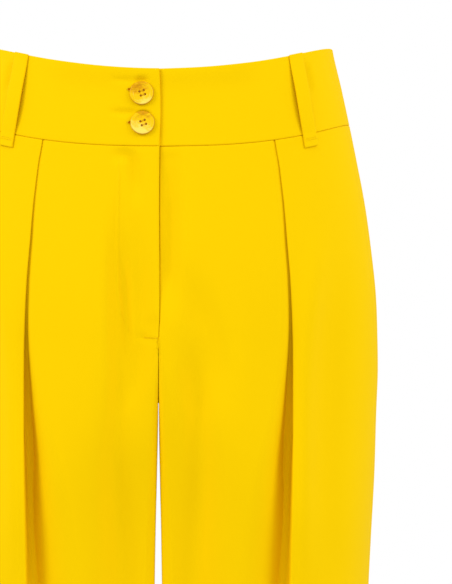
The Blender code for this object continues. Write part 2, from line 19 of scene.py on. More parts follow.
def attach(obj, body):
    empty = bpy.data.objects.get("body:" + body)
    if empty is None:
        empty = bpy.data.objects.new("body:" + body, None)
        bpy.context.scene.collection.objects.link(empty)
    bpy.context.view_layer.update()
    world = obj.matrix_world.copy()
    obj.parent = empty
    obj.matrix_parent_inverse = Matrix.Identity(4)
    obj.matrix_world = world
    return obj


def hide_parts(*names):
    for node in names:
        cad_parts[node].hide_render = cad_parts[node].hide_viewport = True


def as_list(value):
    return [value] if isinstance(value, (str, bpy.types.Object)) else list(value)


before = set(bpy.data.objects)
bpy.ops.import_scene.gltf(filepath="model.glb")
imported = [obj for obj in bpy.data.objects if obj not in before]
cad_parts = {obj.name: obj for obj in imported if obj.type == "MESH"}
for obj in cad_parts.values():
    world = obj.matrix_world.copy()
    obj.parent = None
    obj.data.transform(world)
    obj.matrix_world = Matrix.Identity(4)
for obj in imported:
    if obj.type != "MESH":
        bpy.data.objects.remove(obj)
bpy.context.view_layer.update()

Array = np.ndarray
Point = tuple[float, float, float]
LOG = logging.getLogger("trousers")

ROLL = (0.0, 0.1, 0.35, 0.65)  # Shares of a rolled edge's width that have a column or a row
SEAM_CROSS = 0.00005  # How far a piece's edge goes past its seam, so that no seam shows light
SHARP_CLOTH, SHARP_HORN = math.radians(55), math.radians(35)  # Angles from which an edge is sharp
INNER_WEAVE_OFF = 0.00013  # How far the weave on a wall's inner face is off the one outside


class Side(Enum):
    """The half of the form that a piece lies on. The value is its way out along Y."""

    FRONT = -1.0
    BACK = 1.0


class Lay(Enum):
    """How a stitch lies on its line. The value is the stitch's axis that follows the line."""

    ALONG = "X"
    ACROSS = "Y"


def smoothstep(t: Array | float) -> Array:
    """0 below 0, 1 above 1, and a smooth climb between."""
    t = np.clip(t, 0.0, 1.0)
    return t * t * (3 - 2 * t)


def smooth_curve(knots: Array, values: Array, slopes: Array, at: float) -> Array:
    """Reads a smooth curve through given values, with given slopes.

    Args:
        knots: Where the values are, in rising order.
        values: The values, or points.
        slopes: The curve's slope at each.
        at: Where to read it.

    Returns:
        The value, or point, there.
    """
    i = int(np.clip(np.searchsorted(knots, at) - 1, 0, len(knots) - 2))
    span = knots[i + 1] - knots[i]
    t = (at - knots[i]) / span
    return (
        (2 * t**3 - 3 * t**2 + 1) * values[i]
        + (t**3 - 2 * t**2 + t) * span * slopes[i]
        + (3 * t**2 - 2 * t**3) * values[i + 1]
        + (t**3 - t**2) * span * slopes[i + 1]
    )


def reach_along(points: Array) -> Array:
    """Distance along a line of flat points to each of them, from the first."""
    return np.concatenate([[0], np.cumsum(np.hypot(*np.diff(points, axis=0).T))])


def rolled(distance: Array | float, width: float, deep: float) -> Array:
    """Lift at a distance from a rolled edge: -deep there, and 0 from a width away, on a round."""
    left = 1 - np.clip(np.asarray(distance, float) / width, 0.0, 1.0)
    return -deep * (1 - np.sqrt(1 - left**2))


@dataclass(frozen=True)
class Table:
    """Sizes by height, read on a smooth curve through the rows."""

    names: tuple[str, ...]
    rows: tuple[tuple[float, ...], ...]

    def read(self, column: str, height: float) -> float:
        """Reads one column.

        Args:
            column: The column's name.
            height: The height to read it at.

        Returns:
            The size there.
        """
        rows = np.array(self.rows)[::-1]
        heights, values = rows[:, 0], rows[:, self.names.index(column)]
        at = float(np.clip(height, heights[0], heights[-1]))
        return float(smooth_curve(heights, values, np.gradient(values, heights), at))


@dataclass(frozen=True)
class Crease:
    """A soft trough or ridge in the cloth, along a line of (x, z) points on one side of the form.

    The lift is below 0 for a trough. It grows from nothing over the share `grows` of the line and
    dies away over the share `dies`. A line that `both` legs have is mirrored.
    """

    side: Side
    line: tuple[tuple[float, float], ...]
    width: float
    lift: float
    grows: float = 0.35
    dies: float = 0.35
    both: bool = False

    STEPS = 14

    def smooth_line(self) -> Array:
        """Draws the line as more points, on a smooth curve through its own.

        Returns:
            The points, as rows of (x, z).
        """
        points = np.array(self.line)
        if len(points) == 2:
            return np.linspace(points[0], points[1], self.STEPS)
        knots = reach_along(points)
        slopes = np.gradient(points, knots, axis=0)
        places = np.linspace(0, knots[-1], self.STEPS)
        return np.array([smooth_curve(knots, points, slopes, at) for at in places])

    def lift_at(self, x: Array, z: Array) -> Array:
        """How far the crease lifts the cloth.

        Args:
            x: Where the cloth's points are, across.
            z: How high they are.

        Returns:
            The lift of each point.
        """
        line = self.smooth_line()
        near = np.full(x.shape, np.inf)
        share = np.zeros(x.shape)
        reach = reach_along(line)
        for i in range(len(line) - 1):
            step = line[i + 1] - line[i]
            t = ((x - line[i, 0]) * step[0] + (z - line[i, 1]) * step[1]) / (step @ step)
            t = np.clip(t, 0, 1)
            away = np.hypot(x - line[i, 0] - t * step[0], z - line[i, 1] - t * step[1])
            closer = away < near
            near = np.where(closer, away, near)
            along = reach[i] + t * (reach[i + 1] - reach[i])
            share = np.where(closer, along / reach[-1], share)
        fade = smoothstep(share / self.grows) * smoothstep((1 - share) / self.dies)
        return self.lift * fade * np.exp(-((near / self.width) ** 2))


FRONT, BACK = Side.FRONT, Side.BACK

CREASES = (
    # The right front, beside the fly
    Crease(FRONT, ((-0.043, -0.064), (-0.0236, -0.064), (-0.018, -0.083), (-0.017, -0.11)),
           0.005, -0.0034, 0.3, 0.5),
    Crease(FRONT, ((-0.0308, -0.066), (-0.0306, -0.18), (-0.0296, -0.188), (-0.0262, -0.196)),
           0.0012, 0.0007, 0.15, 0.1),
    Crease(FRONT, ((-0.0345, -0.088), (-0.0338, -0.16), (-0.031, -0.3)), 0.0066, -0.0054, 0.35, 0.5),
    Crease(FRONT, ((-0.028, -0.11), (-0.0266, -0.17), (-0.024, -0.24)), 0.005, -0.005, 0.5, 0.35),
    Crease(FRONT, ((-0.0185, -0.09), (-0.0165, -0.18), (-0.014, -0.3)), 0.012, -0.0084, 0.45, 0.4),
    Crease(FRONT, ((-0.0045, -0.186), (-0.004, -0.204)), 0.005, -0.0014, 0.5, 0.1),
    Crease(FRONT, ((-0.02, -0.2035), (-0.011, -0.205), (-0.002, -0.2066)), 0.0016, -0.0013, 0.5, 0.1),
    # The left front, beside the fly
    Crease(FRONT, ((0.008, -0.058), (0.0085, -0.075), (0.007, -0.1)), 0.008, -0.0014, 0.2, 0.5),
    Crease(FRONT, ((0.0088, -0.062), (0.009, -0.13), (0.0072, -0.2)), 0.0072, -0.0044, 0.35, 0.35),
    Crease(FRONT, ((0.017, -0.14), (0.034, -0.19), (0.042, -0.222), (0.038, -0.28)),
           0.0125, -0.005, 0.4, 0.4),
    Crease(FRONT, ((0.026, -0.196), (0.029, -0.25), (0.03, -0.31)), 0.011, -0.003, 0.4, 0.5),
    # From the crotch down both legs
    Crease(FRONT, ((0.008, -0.194), (0.021, -0.21), (0.0285, -0.25), (0.0285, -0.42)),
           0.011, -0.0046, 0.3, 0.5, True),
    Crease(FRONT, ((0.022, -0.25), (0.025, -0.4), (0.032, -0.74)), 0.0185, -0.0098, 0.34, 0.4, True),
    Crease(FRONT, ((0.056, -0.12), (0.062, -0.23), (0.064, -0.42)), 0.018, 0.0016, 0.4, 0.5, True),
    # Where the hips turn to the sides
    Crease(FRONT, ((0.131, -0.095), (0.123, -0.15), (0.1145, -0.22), (0.1115, -0.3), (0.11, -0.42)),
           0.01, 0.0034, 0.3, 0.4, True),
    Crease(FRONT, ((0.146, -0.12), (0.137, -0.19), (0.133, -0.26), (0.131, -0.44)),
           0.013, -0.0044, 0.3, 0.4, True),
    # Under the feet of the front loops, and beside the loops
    Crease(FRONT, ((0.108, -0.044), (0.111, -0.06)), 0.003, -0.0006, 0.5, 0.5, True),
    Crease(FRONT, ((0.115, 0.018), (0.121, -0.014)), 0.0035, -0.0018, 0.3, 0.4, True),
    # The waistband: its top leans out, the cloth is drawn in over and beside the buttons
    Crease(FRONT, ((-0.096, 0.0175), (-0.045, 0.0083), (0.0, 0.0057), (0.045, 0.0083), (0.084, 0.0145)),
           0.0125, 0.0028, 0.15, 0.15),
    Crease(FRONT, ((-0.042, -0.028), (-0.03, -0.029), (-0.016, -0.029)), 0.0026, -0.0018, 0.5, 0.2),
    Crease(FRONT, ((-0.041, -0.002), (-0.03, -0.0035), (-0.018, -0.004)), 0.0026, -0.001, 0.5, 0.2),
    Crease(FRONT, ((-0.0215, -0.0048), (-0.014, -0.003), (-0.006, -0.0044)), 0.0022, -0.0026, 0.4, 0.4),
    Crease(FRONT, ((-0.0185, -0.0312), (-0.011, -0.0302), (-0.0055, -0.0322)), 0.002, -0.0032, 0.3, 0.4),
    # The seat and the backs of the legs
    Crease(BACK, ((0.012, -0.205), (0.045, -0.236), (0.088, -0.243)), 0.011, -0.0036, 0.3, 0.4, True),
    Crease(BACK, ((0.016, -0.262), (0.052, -0.276), (0.086, -0.27)), 0.01, -0.0026, 0.3, 0.4, True),
    Crease(BACK, ((0.024, -0.225), (0.06, -0.258), (0.1, -0.262)), 0.009, 0.0018, 0.3, 0.4, True),
    Crease(BACK, ((0.03, -0.3), (0.034, -0.43), (0.036, -0.64)), 0.013, -0.0044, 0.3, 0.5, True),
    Crease(BACK, ((0.066, -0.33), (0.07, -0.52), (0.073, -0.76)), 0.015, 0.0022, 0.4, 0.5, True),
    Crease(BACK, ((-0.112, -0.15), (-0.104, -0.25), (-0.106, -0.37)), 0.013, -0.0032),
    Crease(BACK, ((0.118, -0.13), (0.109, -0.22), (0.107, -0.34)), 0.013, -0.0028),
    Crease(BACK, ((-0.05, -0.075), (-0.04, -0.13)), 0.01, -0.0014, 0.5, 0.5),
    Crease(BACK, ((0.044, -0.072), (0.052, -0.125)), 0.009, -0.0012, 0.5, 0.5),
)


class Outline:
    """Half an outline of the form, from the centre seam or inseam round to the side seam.

    Below the height where its side starts to rise, it begins with a wall that faces the other leg.
    Above the crotch that wall ends at the centre seam, which curves under from there.
    """

    PROBE = 0.0004  # How far ahead and behind a point its way along is read
    CORNER, FACE, ROUND = 24, 60, 160  # Points on the corner, the face and the outer round

    def __init__(self, form: "Form", side: Side, height: float) -> None:
        """Reads the sizes at a height and traces the outline.

        Args:
            form: The form it belongs to.
            side: The front or the back.
            height: The height.
        """
        self.form, self.side = form, side
        self.joined = height >= form.rise(side)
        self.half = form.sizes.read("side", height)
        self.depth = form.sizes.read(side.name.lower(), height)
        self.inner = form.sizes.read("inner", height)
        self.corner = form.sizes.read(side.name.lower() + "_corner", height)
        self.swell = float(smoothstep((form.leg_start - height) / (form.leg_start - form.leg_full)))
        self.middle = self.inner + self.swell * (self.half - self.inner) / 2
        points = self.joined_points() if self.joined else self.leg_points()
        self.x, self.y = points.T
        self.arc = reach_along(points)
        self.start = 0.0
        if not self.joined:
            rise = form.rise(side)
            under = min((rise - height) / (rise - form.crotch), 1.0)
            edge = self.corner_top * math.sqrt(1 - under * under)
            peak = int(np.argmax(self.y))
            self.start = float(np.interp(edge, self.y[: peak + 1], self.arc[: peak + 1]))
            self.start += form.half_gap
        self.length = float(self.arc[-1] - self.start)

    def face_y(self, x: Array | float) -> Array:
        """Works out the face's depth, without its corner.

        Args:
            x: Where it is read, across.

        Returns:
            The depth there.
        """
        reach = max(self.middle - self.inner, 1e-6)
        short = (self.middle - np.minimum(x, self.middle)) / reach
        belly = 1 - self.form.belly * self.swell * short**2
        u = np.clip((x - self.middle) / (self.half - self.middle), 0, 1)
        power = self.form.roundness
        return self.depth * belly * (1 - u**power) ** (1 / power)

    def side_points(self) -> Array:
        """Traces the outer round.

        Returns:
            Its points (x, y), from the middle of the face to the side seam.
        """
        turn = np.linspace(0, math.pi / 2, self.ROUND)
        power = 2 / self.form.roundness
        x = self.middle + (self.half - self.middle) * np.sin(turn) ** power
        return np.column_stack([x, self.depth * np.abs(np.cos(turn)) ** power])

    def joined_points(self) -> Array:
        """The outline where both halves meet in a centre seam."""
        return np.vstack([[0.0, float(self.face_y(0.0))], self.side_points()])

    def leg_points(self) -> Array:
        """Traces a leg's front or back: its inner wall, its corner, its face and its outer round.

        Returns:
            Its points (x, y), from the inseam to the side seam.
        """
        turned_at = self.inner + self.corner
        slope = (self.face_y(turned_at + self.PROBE) - self.face_y(turned_at)) / self.PROBE
        tilt = math.atan(max(float(slope), 0.0))
        ends_at = turned_at - self.corner * math.sin(tilt)
        centre_y = float(self.face_y(ends_at)) - self.corner * math.cos(tilt)
        turn = np.linspace(0, math.pi / 2 - tilt, self.CORNER)
        corner = np.column_stack(
            [turned_at - self.corner * np.cos(turn), centre_y + self.corner * np.sin(turn)]
        )
        self.corner_top = float(corner[-1, 1])
        parts = [np.array([[self.inner, 0.0]]), corner]
        if self.middle > ends_at:
            x = np.linspace(ends_at, self.middle, self.FACE)[1:-1]
            parts.append(np.column_stack([x, self.face_y(x)]))
        outer = self.side_points()
        parts.append(outer[outer[:, 0] > ends_at + self.PROBE])
        return np.vstack(parts)

    def at(self, along: Array) -> Array:
        """Finds points on the outline.

        Args:
            along: Distances from the middle. Less than 0 carries on across the middle.

        Returns:
            The points (x, y).
        """
        reach = self.start + np.abs(along)
        x = np.interp(reach, self.arc, self.x) * np.where(along >= 0, 1.0, -1.0)
        return np.stack([x, np.interp(reach, self.arc, self.y) * self.side.value], -1)

    def frame(self, along: Array) -> tuple[Array, Array, Array]:
        """Finds points on the outline and how it lies there.

        Args:
            along: Distances from the middle.

        Returns:
            The points, the way along at each and the way out.
        """
        behind = along - self.PROBE
        behind = behind if self.joined else np.maximum(behind, 0.0)
        ahead = np.minimum(along + self.PROBE, self.length)
        return self.at(along), *ways(self.at(behind), self.at(ahead), self.side)

    def along_at(self, x: float) -> float:
        """Distance from the middle to the place where the outline has this x."""
        return float(np.interp(x, self.x, self.arc)) - self.start


def ways(behind: Array, ahead: Array, side: Side) -> tuple[Array, Array]:
    """Finds the way along and the way out, between points behind and ahead.

    Args:
        behind: Points a little before.
        ahead: Points a little after.
        side: The side of the form they are on.

    Returns:
        Unit vectors along and out, each as (x, y).
    """
    way = ahead - behind
    way = way / np.linalg.norm(way, axis=-1, keepdims=True)
    return way, side.value * np.stack([-way[..., 1], way[..., 0]], -1)


class Skin:
    """One side of the form from its top to where the waist's dip ends, as a close grid."""

    STEP = 0.001  # Height from one outline to the next
    SHARES = 1201  # Points on each outline
    TOP = 0.042
    BELOW = 0.006  # How far it reaches below the place where the dip ends

    def __init__(self, form: "Form", side: Side) -> None:
        """Traces the side's outlines a millimetre apart.

        Args:
            form: The form.
            side: The front or the back.
        """
        self.form, self.side = form, side
        self.lowest = form.dip_ends - self.BELOW
        count = int(round((self.TOP - self.lowest) / self.STEP)) + 1
        shares = np.linspace(0, 1, self.SHARES)
        outlines = [Outline(form, side, self.lowest + i * self.STEP) for i in range(count)]
        self.x = np.array([np.interp(o.start + shares * o.length, o.arc, o.x) for o in outlines])
        self.y = np.array([np.interp(o.start + shares * o.length, o.arc, o.y) for o in outlines])

    def look(self, z: Array, share: Array) -> Array:
        """Finds points on the grid.

        Args:
            z: How high each is.
            share: Its share of the way round to the side seam. Below 0 is across the middle.

        Returns:
            The points (x, y).
        """
        row = np.clip((z - self.lowest) / self.STEP, 0, len(self.x) - 1.001)
        column = np.clip(np.abs(share), 0, 1) * (self.SHARES - 1.001)
        i, j = row.astype(int), column.astype(int)
        up, right = row - i, column - j

        def mixed(grid: Array) -> Array:
            """Each point's value, mixed from the four nearest of a grid."""
            low, high = (grid[k, j] * (1 - right) + grid[k, j + 1] * right for k in (i, i + 1))
            return low * (1 - up) + high * up

        x = mixed(self.x) * np.where(share >= 0, 1.0, -1.0)
        return np.stack([x, mixed(self.y) * self.side.value], -1)

    def frame(self, z: Array, share: Array, length: float) -> tuple[Array, Array, Array]:
        """Finds points on the grid and how it lies there.

        Args:
            z: How high each is.
            share: Its share of the way round.
            length: The length of the way round.

        Returns:
            The points, the way along at each and the way out.
        """
        probe = Outline.PROBE / length
        turned = z < self.form.rise(self.side)
        behind = np.where(turned, np.maximum(share - probe, 0), share - probe)
        ahead = np.minimum(share + probe, 1)
        return self.look(z, share), *ways(self.look(z, behind), self.look(z, ahead), self.side)


@dataclass
class Cut:
    """A piece's cross-section: for each column its place along, its lift, its way out, its wall."""

    along: Array
    lift: Array
    out_along: Array
    out_lift: Array
    thick: Array

    @classmethod
    def flat(cls, along: Iterable[float], thick: float) -> "Cut":
        """Makes a cross-section that lies on the form.

        Args:
            along: The place of each column.
            thick: The thickness of all of them.

        Returns:
            The cross-section.
        """
        along = np.asarray(along, float)
        ones = np.ones_like(along)
        return cls(along, 0 * ones, 0 * ones, ones, thick * ones)


@dataclass
class Form:
    """The shape that all the cloth lies on: a stack of half outlines, with a dip at the waist."""

    cloth: float = 0.0008
    band_cloth: float = 0.0024
    half_gap: float = 0.00015
    band_top: float = 0.0314
    band_seam: float = -0.03
    hem: float = -1.03
    hem_turn_up: float = 0.04
    dip_ends: float = -0.19
    fly_end: float = -0.205
    crotch: float = -0.2525
    seat_start: float = -0.16
    leg_start: float = -0.205
    leg_full: float = -0.36
    belly: float = 0.11
    roundness: float = 2.15
    dips: dict[Side, float] = field(default_factory=lambda: {FRONT: 0.0257, BACK: 0.01})
    top_power: float = 2.0
    seam_power: float = 2.5
    facing_fades: tuple[float, float] = (0.15, 0.55)
    creases: tuple[Crease, ...] = CREASES
    sizes: Table = Table(
        ("height", "side", "front", "back", "inner", "front_corner", "back_corner"),
        (
            (0.0400, 0.1385, 0.0875, 0.0810, 0.00015, 0.0003, 0.0003),
            (0.0310, 0.1398, 0.0880, 0.0815, 0.00015, 0.0003, 0.0003),
            (0.0000, 0.1468, 0.0910, 0.0850, 0.00015, 0.0003, 0.0003),
            (-0.0300, 0.1532, 0.0940, 0.0890, 0.00015, 0.0003, 0.0003),
            (-0.0580, 0.1588, 0.0970, 0.0950, 0.00015, 0.0003, 0.0003),
            (-0.0940, 0.1655, 0.1010, 0.1040, 0.00015, 0.0003, 0.0003),
            (-0.1300, 0.1704, 0.1050, 0.1120, 0.00015, 0.0003, 0.0003),
            (-0.1660, 0.1741, 0.1080, 0.1180, 0.00015, 0.0003, 0.0020),
            (-0.2020, 0.1753, 0.1095, 0.1200, 0.00015, 0.0003, 0.0080),
            (-0.2260, 0.1755, 0.1095, 0.1195, 0.00015, 0.0024, 0.0120),
            (-0.2580, 0.1742, 0.1080, 0.1170, 0.00025, 0.0050, 0.0160),
            (-0.3100, 0.1724, 0.1045, 0.1110, 0.00120, 0.0080, 0.0200),
            (-0.3580, 0.1696, 0.1020, 0.1065, 0.00230, 0.0100, 0.0220),
            (-0.3960, 0.1676, 0.1005, 0.1040, 0.00290, 0.0115, 0.0240),
            (-0.5000, 0.1655, 0.0985, 0.1010, 0.00480, 0.0160, 0.0280),
            (-0.6200, 0.1665, 0.0985, 0.1010, 0.00650, 0.0200, 0.0300),
            (-0.7800, 0.1730, 0.1010, 0.1040, 0.00850, 0.0240, 0.0320),
            (-0.9000, 0.1795, 0.1045, 0.1075, 0.00980, 0.0260, 0.0330),
            (-1.0300, 0.1870, 0.1090, 0.1120, 0.01050, 0.0280, 0.0340),
        ),
    )
    outlines: dict[tuple[Side, float], Outline] = field(default_factory=dict)
    skins: dict[Side, Skin] = field(default_factory=dict)

    def rise(self, side: Side) -> float:
        """The height from which a side's centre seam turns under."""
        return self.fly_end if side is FRONT else self.seat_start

    def outline(self, side: Side, height: float) -> Outline:
        """Traces an outline, once.

        Args:
            side: The front or the back.
            height: The height.

        Returns:
            The outline.
        """
        key = (side, round(height, 7))
        if key not in self.outlines:
            self.outlines[key] = Outline(self, side, height)
        return self.outlines[key]

    def skin(self, side: Side) -> Skin:
        """Traces the close grid of a side's upper part, once.

        Args:
            side: The front or the back.

        Returns:
            The grid.
        """
        if side not in self.skins:
            self.skins[side] = Skin(self, side)
        return self.skins[side]

    def dip(self, side: Side, share: Array | float, height: float) -> Array:
        """Works out how far a line round the waist drops.

        Args:
            side: The front or the back.
            share: Where it is read, as a share of the half width.
            height: The line's height at the side seam.

        Returns:
            The drop there.
        """
        down = float(smoothstep((self.band_top - height) / (self.band_top - self.band_seam)))
        power = self.top_power + (self.seam_power - self.top_power) * down
        fade = 1 - smoothstep((self.band_seam - height) / (self.band_seam - self.dip_ends))
        return self.dips[side] * fade * (1 - np.minimum(np.abs(share), 1.0) ** power)

    def relief(self, side: Side, x: Array, z: Array, facing: Array) -> Array:
        """Works out how far the creases lift the cloth.

        Args:
            side: The front or the back.
            x: Where the cloth's points are, across.
            z: How high they are.
            facing: How far each faces to the front or the back, from 0 to 1. Creases fade as the
                cloth turns to the side.

        Returns:
            The lift of each point.
        """
        total = np.zeros(x.shape)
        for crease in self.creases:
            if crease.side is side:
                total += crease.lift_at(x, z)
                if crease.both:
                    total += crease.lift_at(-x, z)
        starts, width = self.facing_fades
        return total * smoothstep((np.abs(facing) - starts) / width)

    def spread(
        self, side: Side, heights: Sequence[float], cuts: Sequence[Cut], mirrored: bool = False
    ) -> tuple[Array, Array]:
        """Lays a piece's rows on the form.

        Args:
            side: The side of the form.
            heights: The height of each row, at the side seam.
            cuts: The cross-section of each row.
            mirrored: Whether the piece is on the wearer's right.

        Returns:
            The outer and the inner points of the wall, each as rows by columns by 3.
        """
        turn = -1.0 if mirrored else 1.0
        at, way, out, z = [], [], [], []
        for height, cut in zip(heights, cuts):
            level = self.outline(side, height)
            share = level.at(cut.along)[:, 0] / level.half
            here = height - self.dip(side, share, height)
            if height > self.dip_ends:
                found = self.skin(side).frame(here, cut.along / level.length, level.length)
            else:
                found = level.frame(cut.along)
            for kept, new in zip((at, way, out, z), (*found, here + 0 * share)):
                kept.append(new)
        at, way, out, z = (np.array(kept) for kept in (at, way, out, z))
        relief = self.relief(side, turn * at[..., 0], z, out[..., 1])
        lift = np.array([cut.lift for cut in cuts]) + relief
        wall = np.array([cut.thick for cut in cuts])[..., None]
        out_along = np.array([cut.out_along for cut in cuts])[..., None]
        out_lift = np.array([cut.out_lift for cut in cuts])[..., None]
        outer = at + lift[..., None] * out
        inner = outer - wall * (out_along * way + out_lift * out)
        flip = np.array([turn, 1.0])
        return tuple(np.concatenate([p * flip, z[..., None]], -1) for p in (outer, inner))

    def spot(self, side: Side, x: float, z: float, lift: float = 0.0) -> Point:
        """Finds a point on the cloth's face.

        Args:
            side: The side of the form.
            x: Where it is across.
            z: How high it is.
            lift: How far it stands off.

        Returns:
            The point.
        """
        outline = self.outline(side, round(z, 4))
        at, _, out = outline.frame(np.array([outline.along_at(abs(x))]))
        off = lift + float(self.relief(side, np.array([x]), np.array([z]), out[:, 1])[0])
        point = at[0] + off * out[0]
        return (math.copysign(point[0], x), float(point[1]), z)


@dataclass(frozen=True)
class Val:
    """A value in a shader's maths. Its operators add Math nodes."""

    tree: "Shader"
    socket: object

    def maths(self, operation: str, *values: object) -> "Val":
        """Adds a Math node with these values, numbers or other Vals."""
        inputs = {i: value for i, value in enumerate(values)}
        return self.tree.value("ShaderNodeMath", {"operation": operation}, inputs)

    def __add__(self, other: object) -> "Val":
        """self + other."""
        return self.maths("ADD", self, other)

    def __sub__(self, other: object) -> "Val":
        """self - other."""
        return self.maths("SUBTRACT", self, other)

    def __mul__(self, other: object) -> "Val":
        """self * other."""
        return self.maths("MULTIPLY", self, other)

    def sine(self) -> "Val":
        """The sine."""
        return self.maths("SINE", self)

    def clamped(self) -> "Val":
        """The value kept from 0 to 1."""
        return self.tree.value("ShaderNodeClamp", {}, {"Value": self})


class Shader:
    """A material's node tree, built in code."""

    def __init__(self, name: str) -> None:
        """Makes a material with an empty tree.

        Args:
            name: The material's name.
        """
        self.material = bpy.data.materials.new(name)
        self.material.use_nodes = True
        self.nodes = self.material.node_tree.nodes
        self.links = self.material.node_tree.links
        self.nodes.clear()

    def node(self, kind: str, settings: dict[str, object], inputs: dict) -> bpy.types.Node:
        """Adds a node.

        Args:
            kind: The node's type.
            settings: Its settings, set first. A ramp's stops are a list of (place, colour).
            inputs: Values or links of its sockets, by name or number.

        Returns:
            The node.
        """
        made = self.nodes.new(kind)
        for key, value in settings.items():
            if key == "stops":
                ramp = made.color_ramp.elements
                while len(ramp) < len(value):
                    ramp.new(0.5)
                for stop, (place, colour) in zip(ramp, value):
                    stop.position, stop.color = place, colour
            else:
                setattr(made, key, value)
        for key, value in inputs.items():
            if isinstance(value, Val):
                self.links.new(value.socket, made.inputs[key])
            elif isinstance(value, bpy.types.NodeSocket):
                self.links.new(value, made.inputs[key])
            else:
                made.inputs[key].default_value = value
        return made

    def value(self, kind: str, settings: dict[str, object], inputs: dict) -> Val:
        """Adds a node and gives its first output as a value."""
        return Val(self, self.node(kind, settings, inputs).outputs[0])

    def place(self) -> bpy.types.NodeSocket:
        """The place on the object, in metres."""
        return self.node("ShaderNodeTexCoord", {}, {}).outputs["Object"]

    def blend(self, mask: object, low: object, high: object) -> bpy.types.NodeSocket:
        """A colour between two, by a mask."""
        node = self.node("ShaderNodeMix", {"data_type": "RGBA"}, {0: mask, 6: low, 7: high})
        return node.outputs[2]

    def noise(self, where: object, scale: float, detail: float = 2.0, rough: float = 0.5) -> Val:
        """A soft noise from 0 to 1."""
        inputs = {"Vector": where, "Scale": scale, "Detail": detail, "Roughness": rough}
        return self.value("ShaderNodeTexNoise", {}, inputs)

    def bump(self, height: Val, strength: float, distance: float, under: object = None) -> Val:
        """Adds a Bump node.

        Args:
            height: The height that it reads.
            strength: Its strength.
            distance: Its distance.
            under: Another normal that it goes over.

        Returns:
            The normal.
        """
        inputs = {"Height": height, "Strength": strength, "Distance": distance}
        if under is not None:
            inputs["Normal"] = under
        return self.value("ShaderNodeBump", {}, inputs)

    def finish(self, inputs: dict[str, object]) -> bpy.types.Material:
        """Ends the tree in a Principled shader with these sockets set.

        Args:
            inputs: Values or links of the shader's sockets.

        Returns:
            The material.
        """
        shader = self.node("ShaderNodeBsdfPrincipled", {}, inputs)
        self.node("ShaderNodeOutputMaterial", {}, {"Surface": shader.outputs[0]})
        return self.material


@dataclass(frozen=True)
class Suiting:
    """A smooth, fine twill in one bright yellow, matt with a slight sheen.

    It reads the cloth's own UV map, which is in metres along and down the piece.
    """

    name: str = "yellow_suiting"
    light: tuple[float, ...] = (0.88, 0.585, 0.001, 1.0)
    deep: tuple[float, ...] = (0.84, 0.53, 0.0008, 1.0)
    rib: float = 0.00052
    thread: float = 0.00034
    slub_scale: float = 900.0
    patch_scale: float = 7.0
    fibre_scale: float = 2600.0
    roughness: float = 0.74
    sheen: float = 0.1

    def material(self) -> bpy.types.Material:
        """Builds the twill.

        Returns:
            The material.
        """
        tree = Shader(self.name)
        cloth = tree.node("ShaderNodeUVMap", {"uv_map": "cloth"}, {}).outputs[0]
        parts = tree.node("ShaderNodeSeparateXYZ", {}, {0: cloth})
        u, v = Val(tree, parts.outputs[0]), Val(tree, parts.outputs[1])
        place = tree.place()
        slub = tree.noise(place, self.slub_scale, 2.0)
        ribs = ((u * 0.55 + v) * (2 * math.pi / self.rib) + slub * 1.6).sine()
        yarns = ((u - v * 0.35) * (2 * math.pi / self.thread)).sine()
        weave = ribs * 0.3 + yarns * 0.12 + 0.5
        patches = tree.noise(place, self.patch_scale, 3.0, 0.55)
        fibres = tree.noise(place, self.fibre_scale, 1.0)
        mask = (weave * 0.3 + patches * 0.45 + fibres * 0.18).clamped()
        colour = tree.blend(mask, self.deep, self.light)
        rough = (patches - 0.5) * 0.06 + weave * 0.05 + self.roughness
        soft = tree.bump(patches, 0.1, 0.002)
        normal = tree.bump(weave + fibres * 0.5, 0.22, 0.00006, soft)
        return tree.finish(
            {
                "Base Color": colour,
                "Roughness": rough,
                "Normal": normal,
                "Specular IOR Level": 0.06,
                "Specular Tint": (1.0, 0.8, 0.02, 1.0),
                "Sheen Weight": self.sheen,
                "Sheen Roughness": 0.5,
                "Sheen Tint": (1.0, 0.76, 0.004, 1.0),
            }
        )


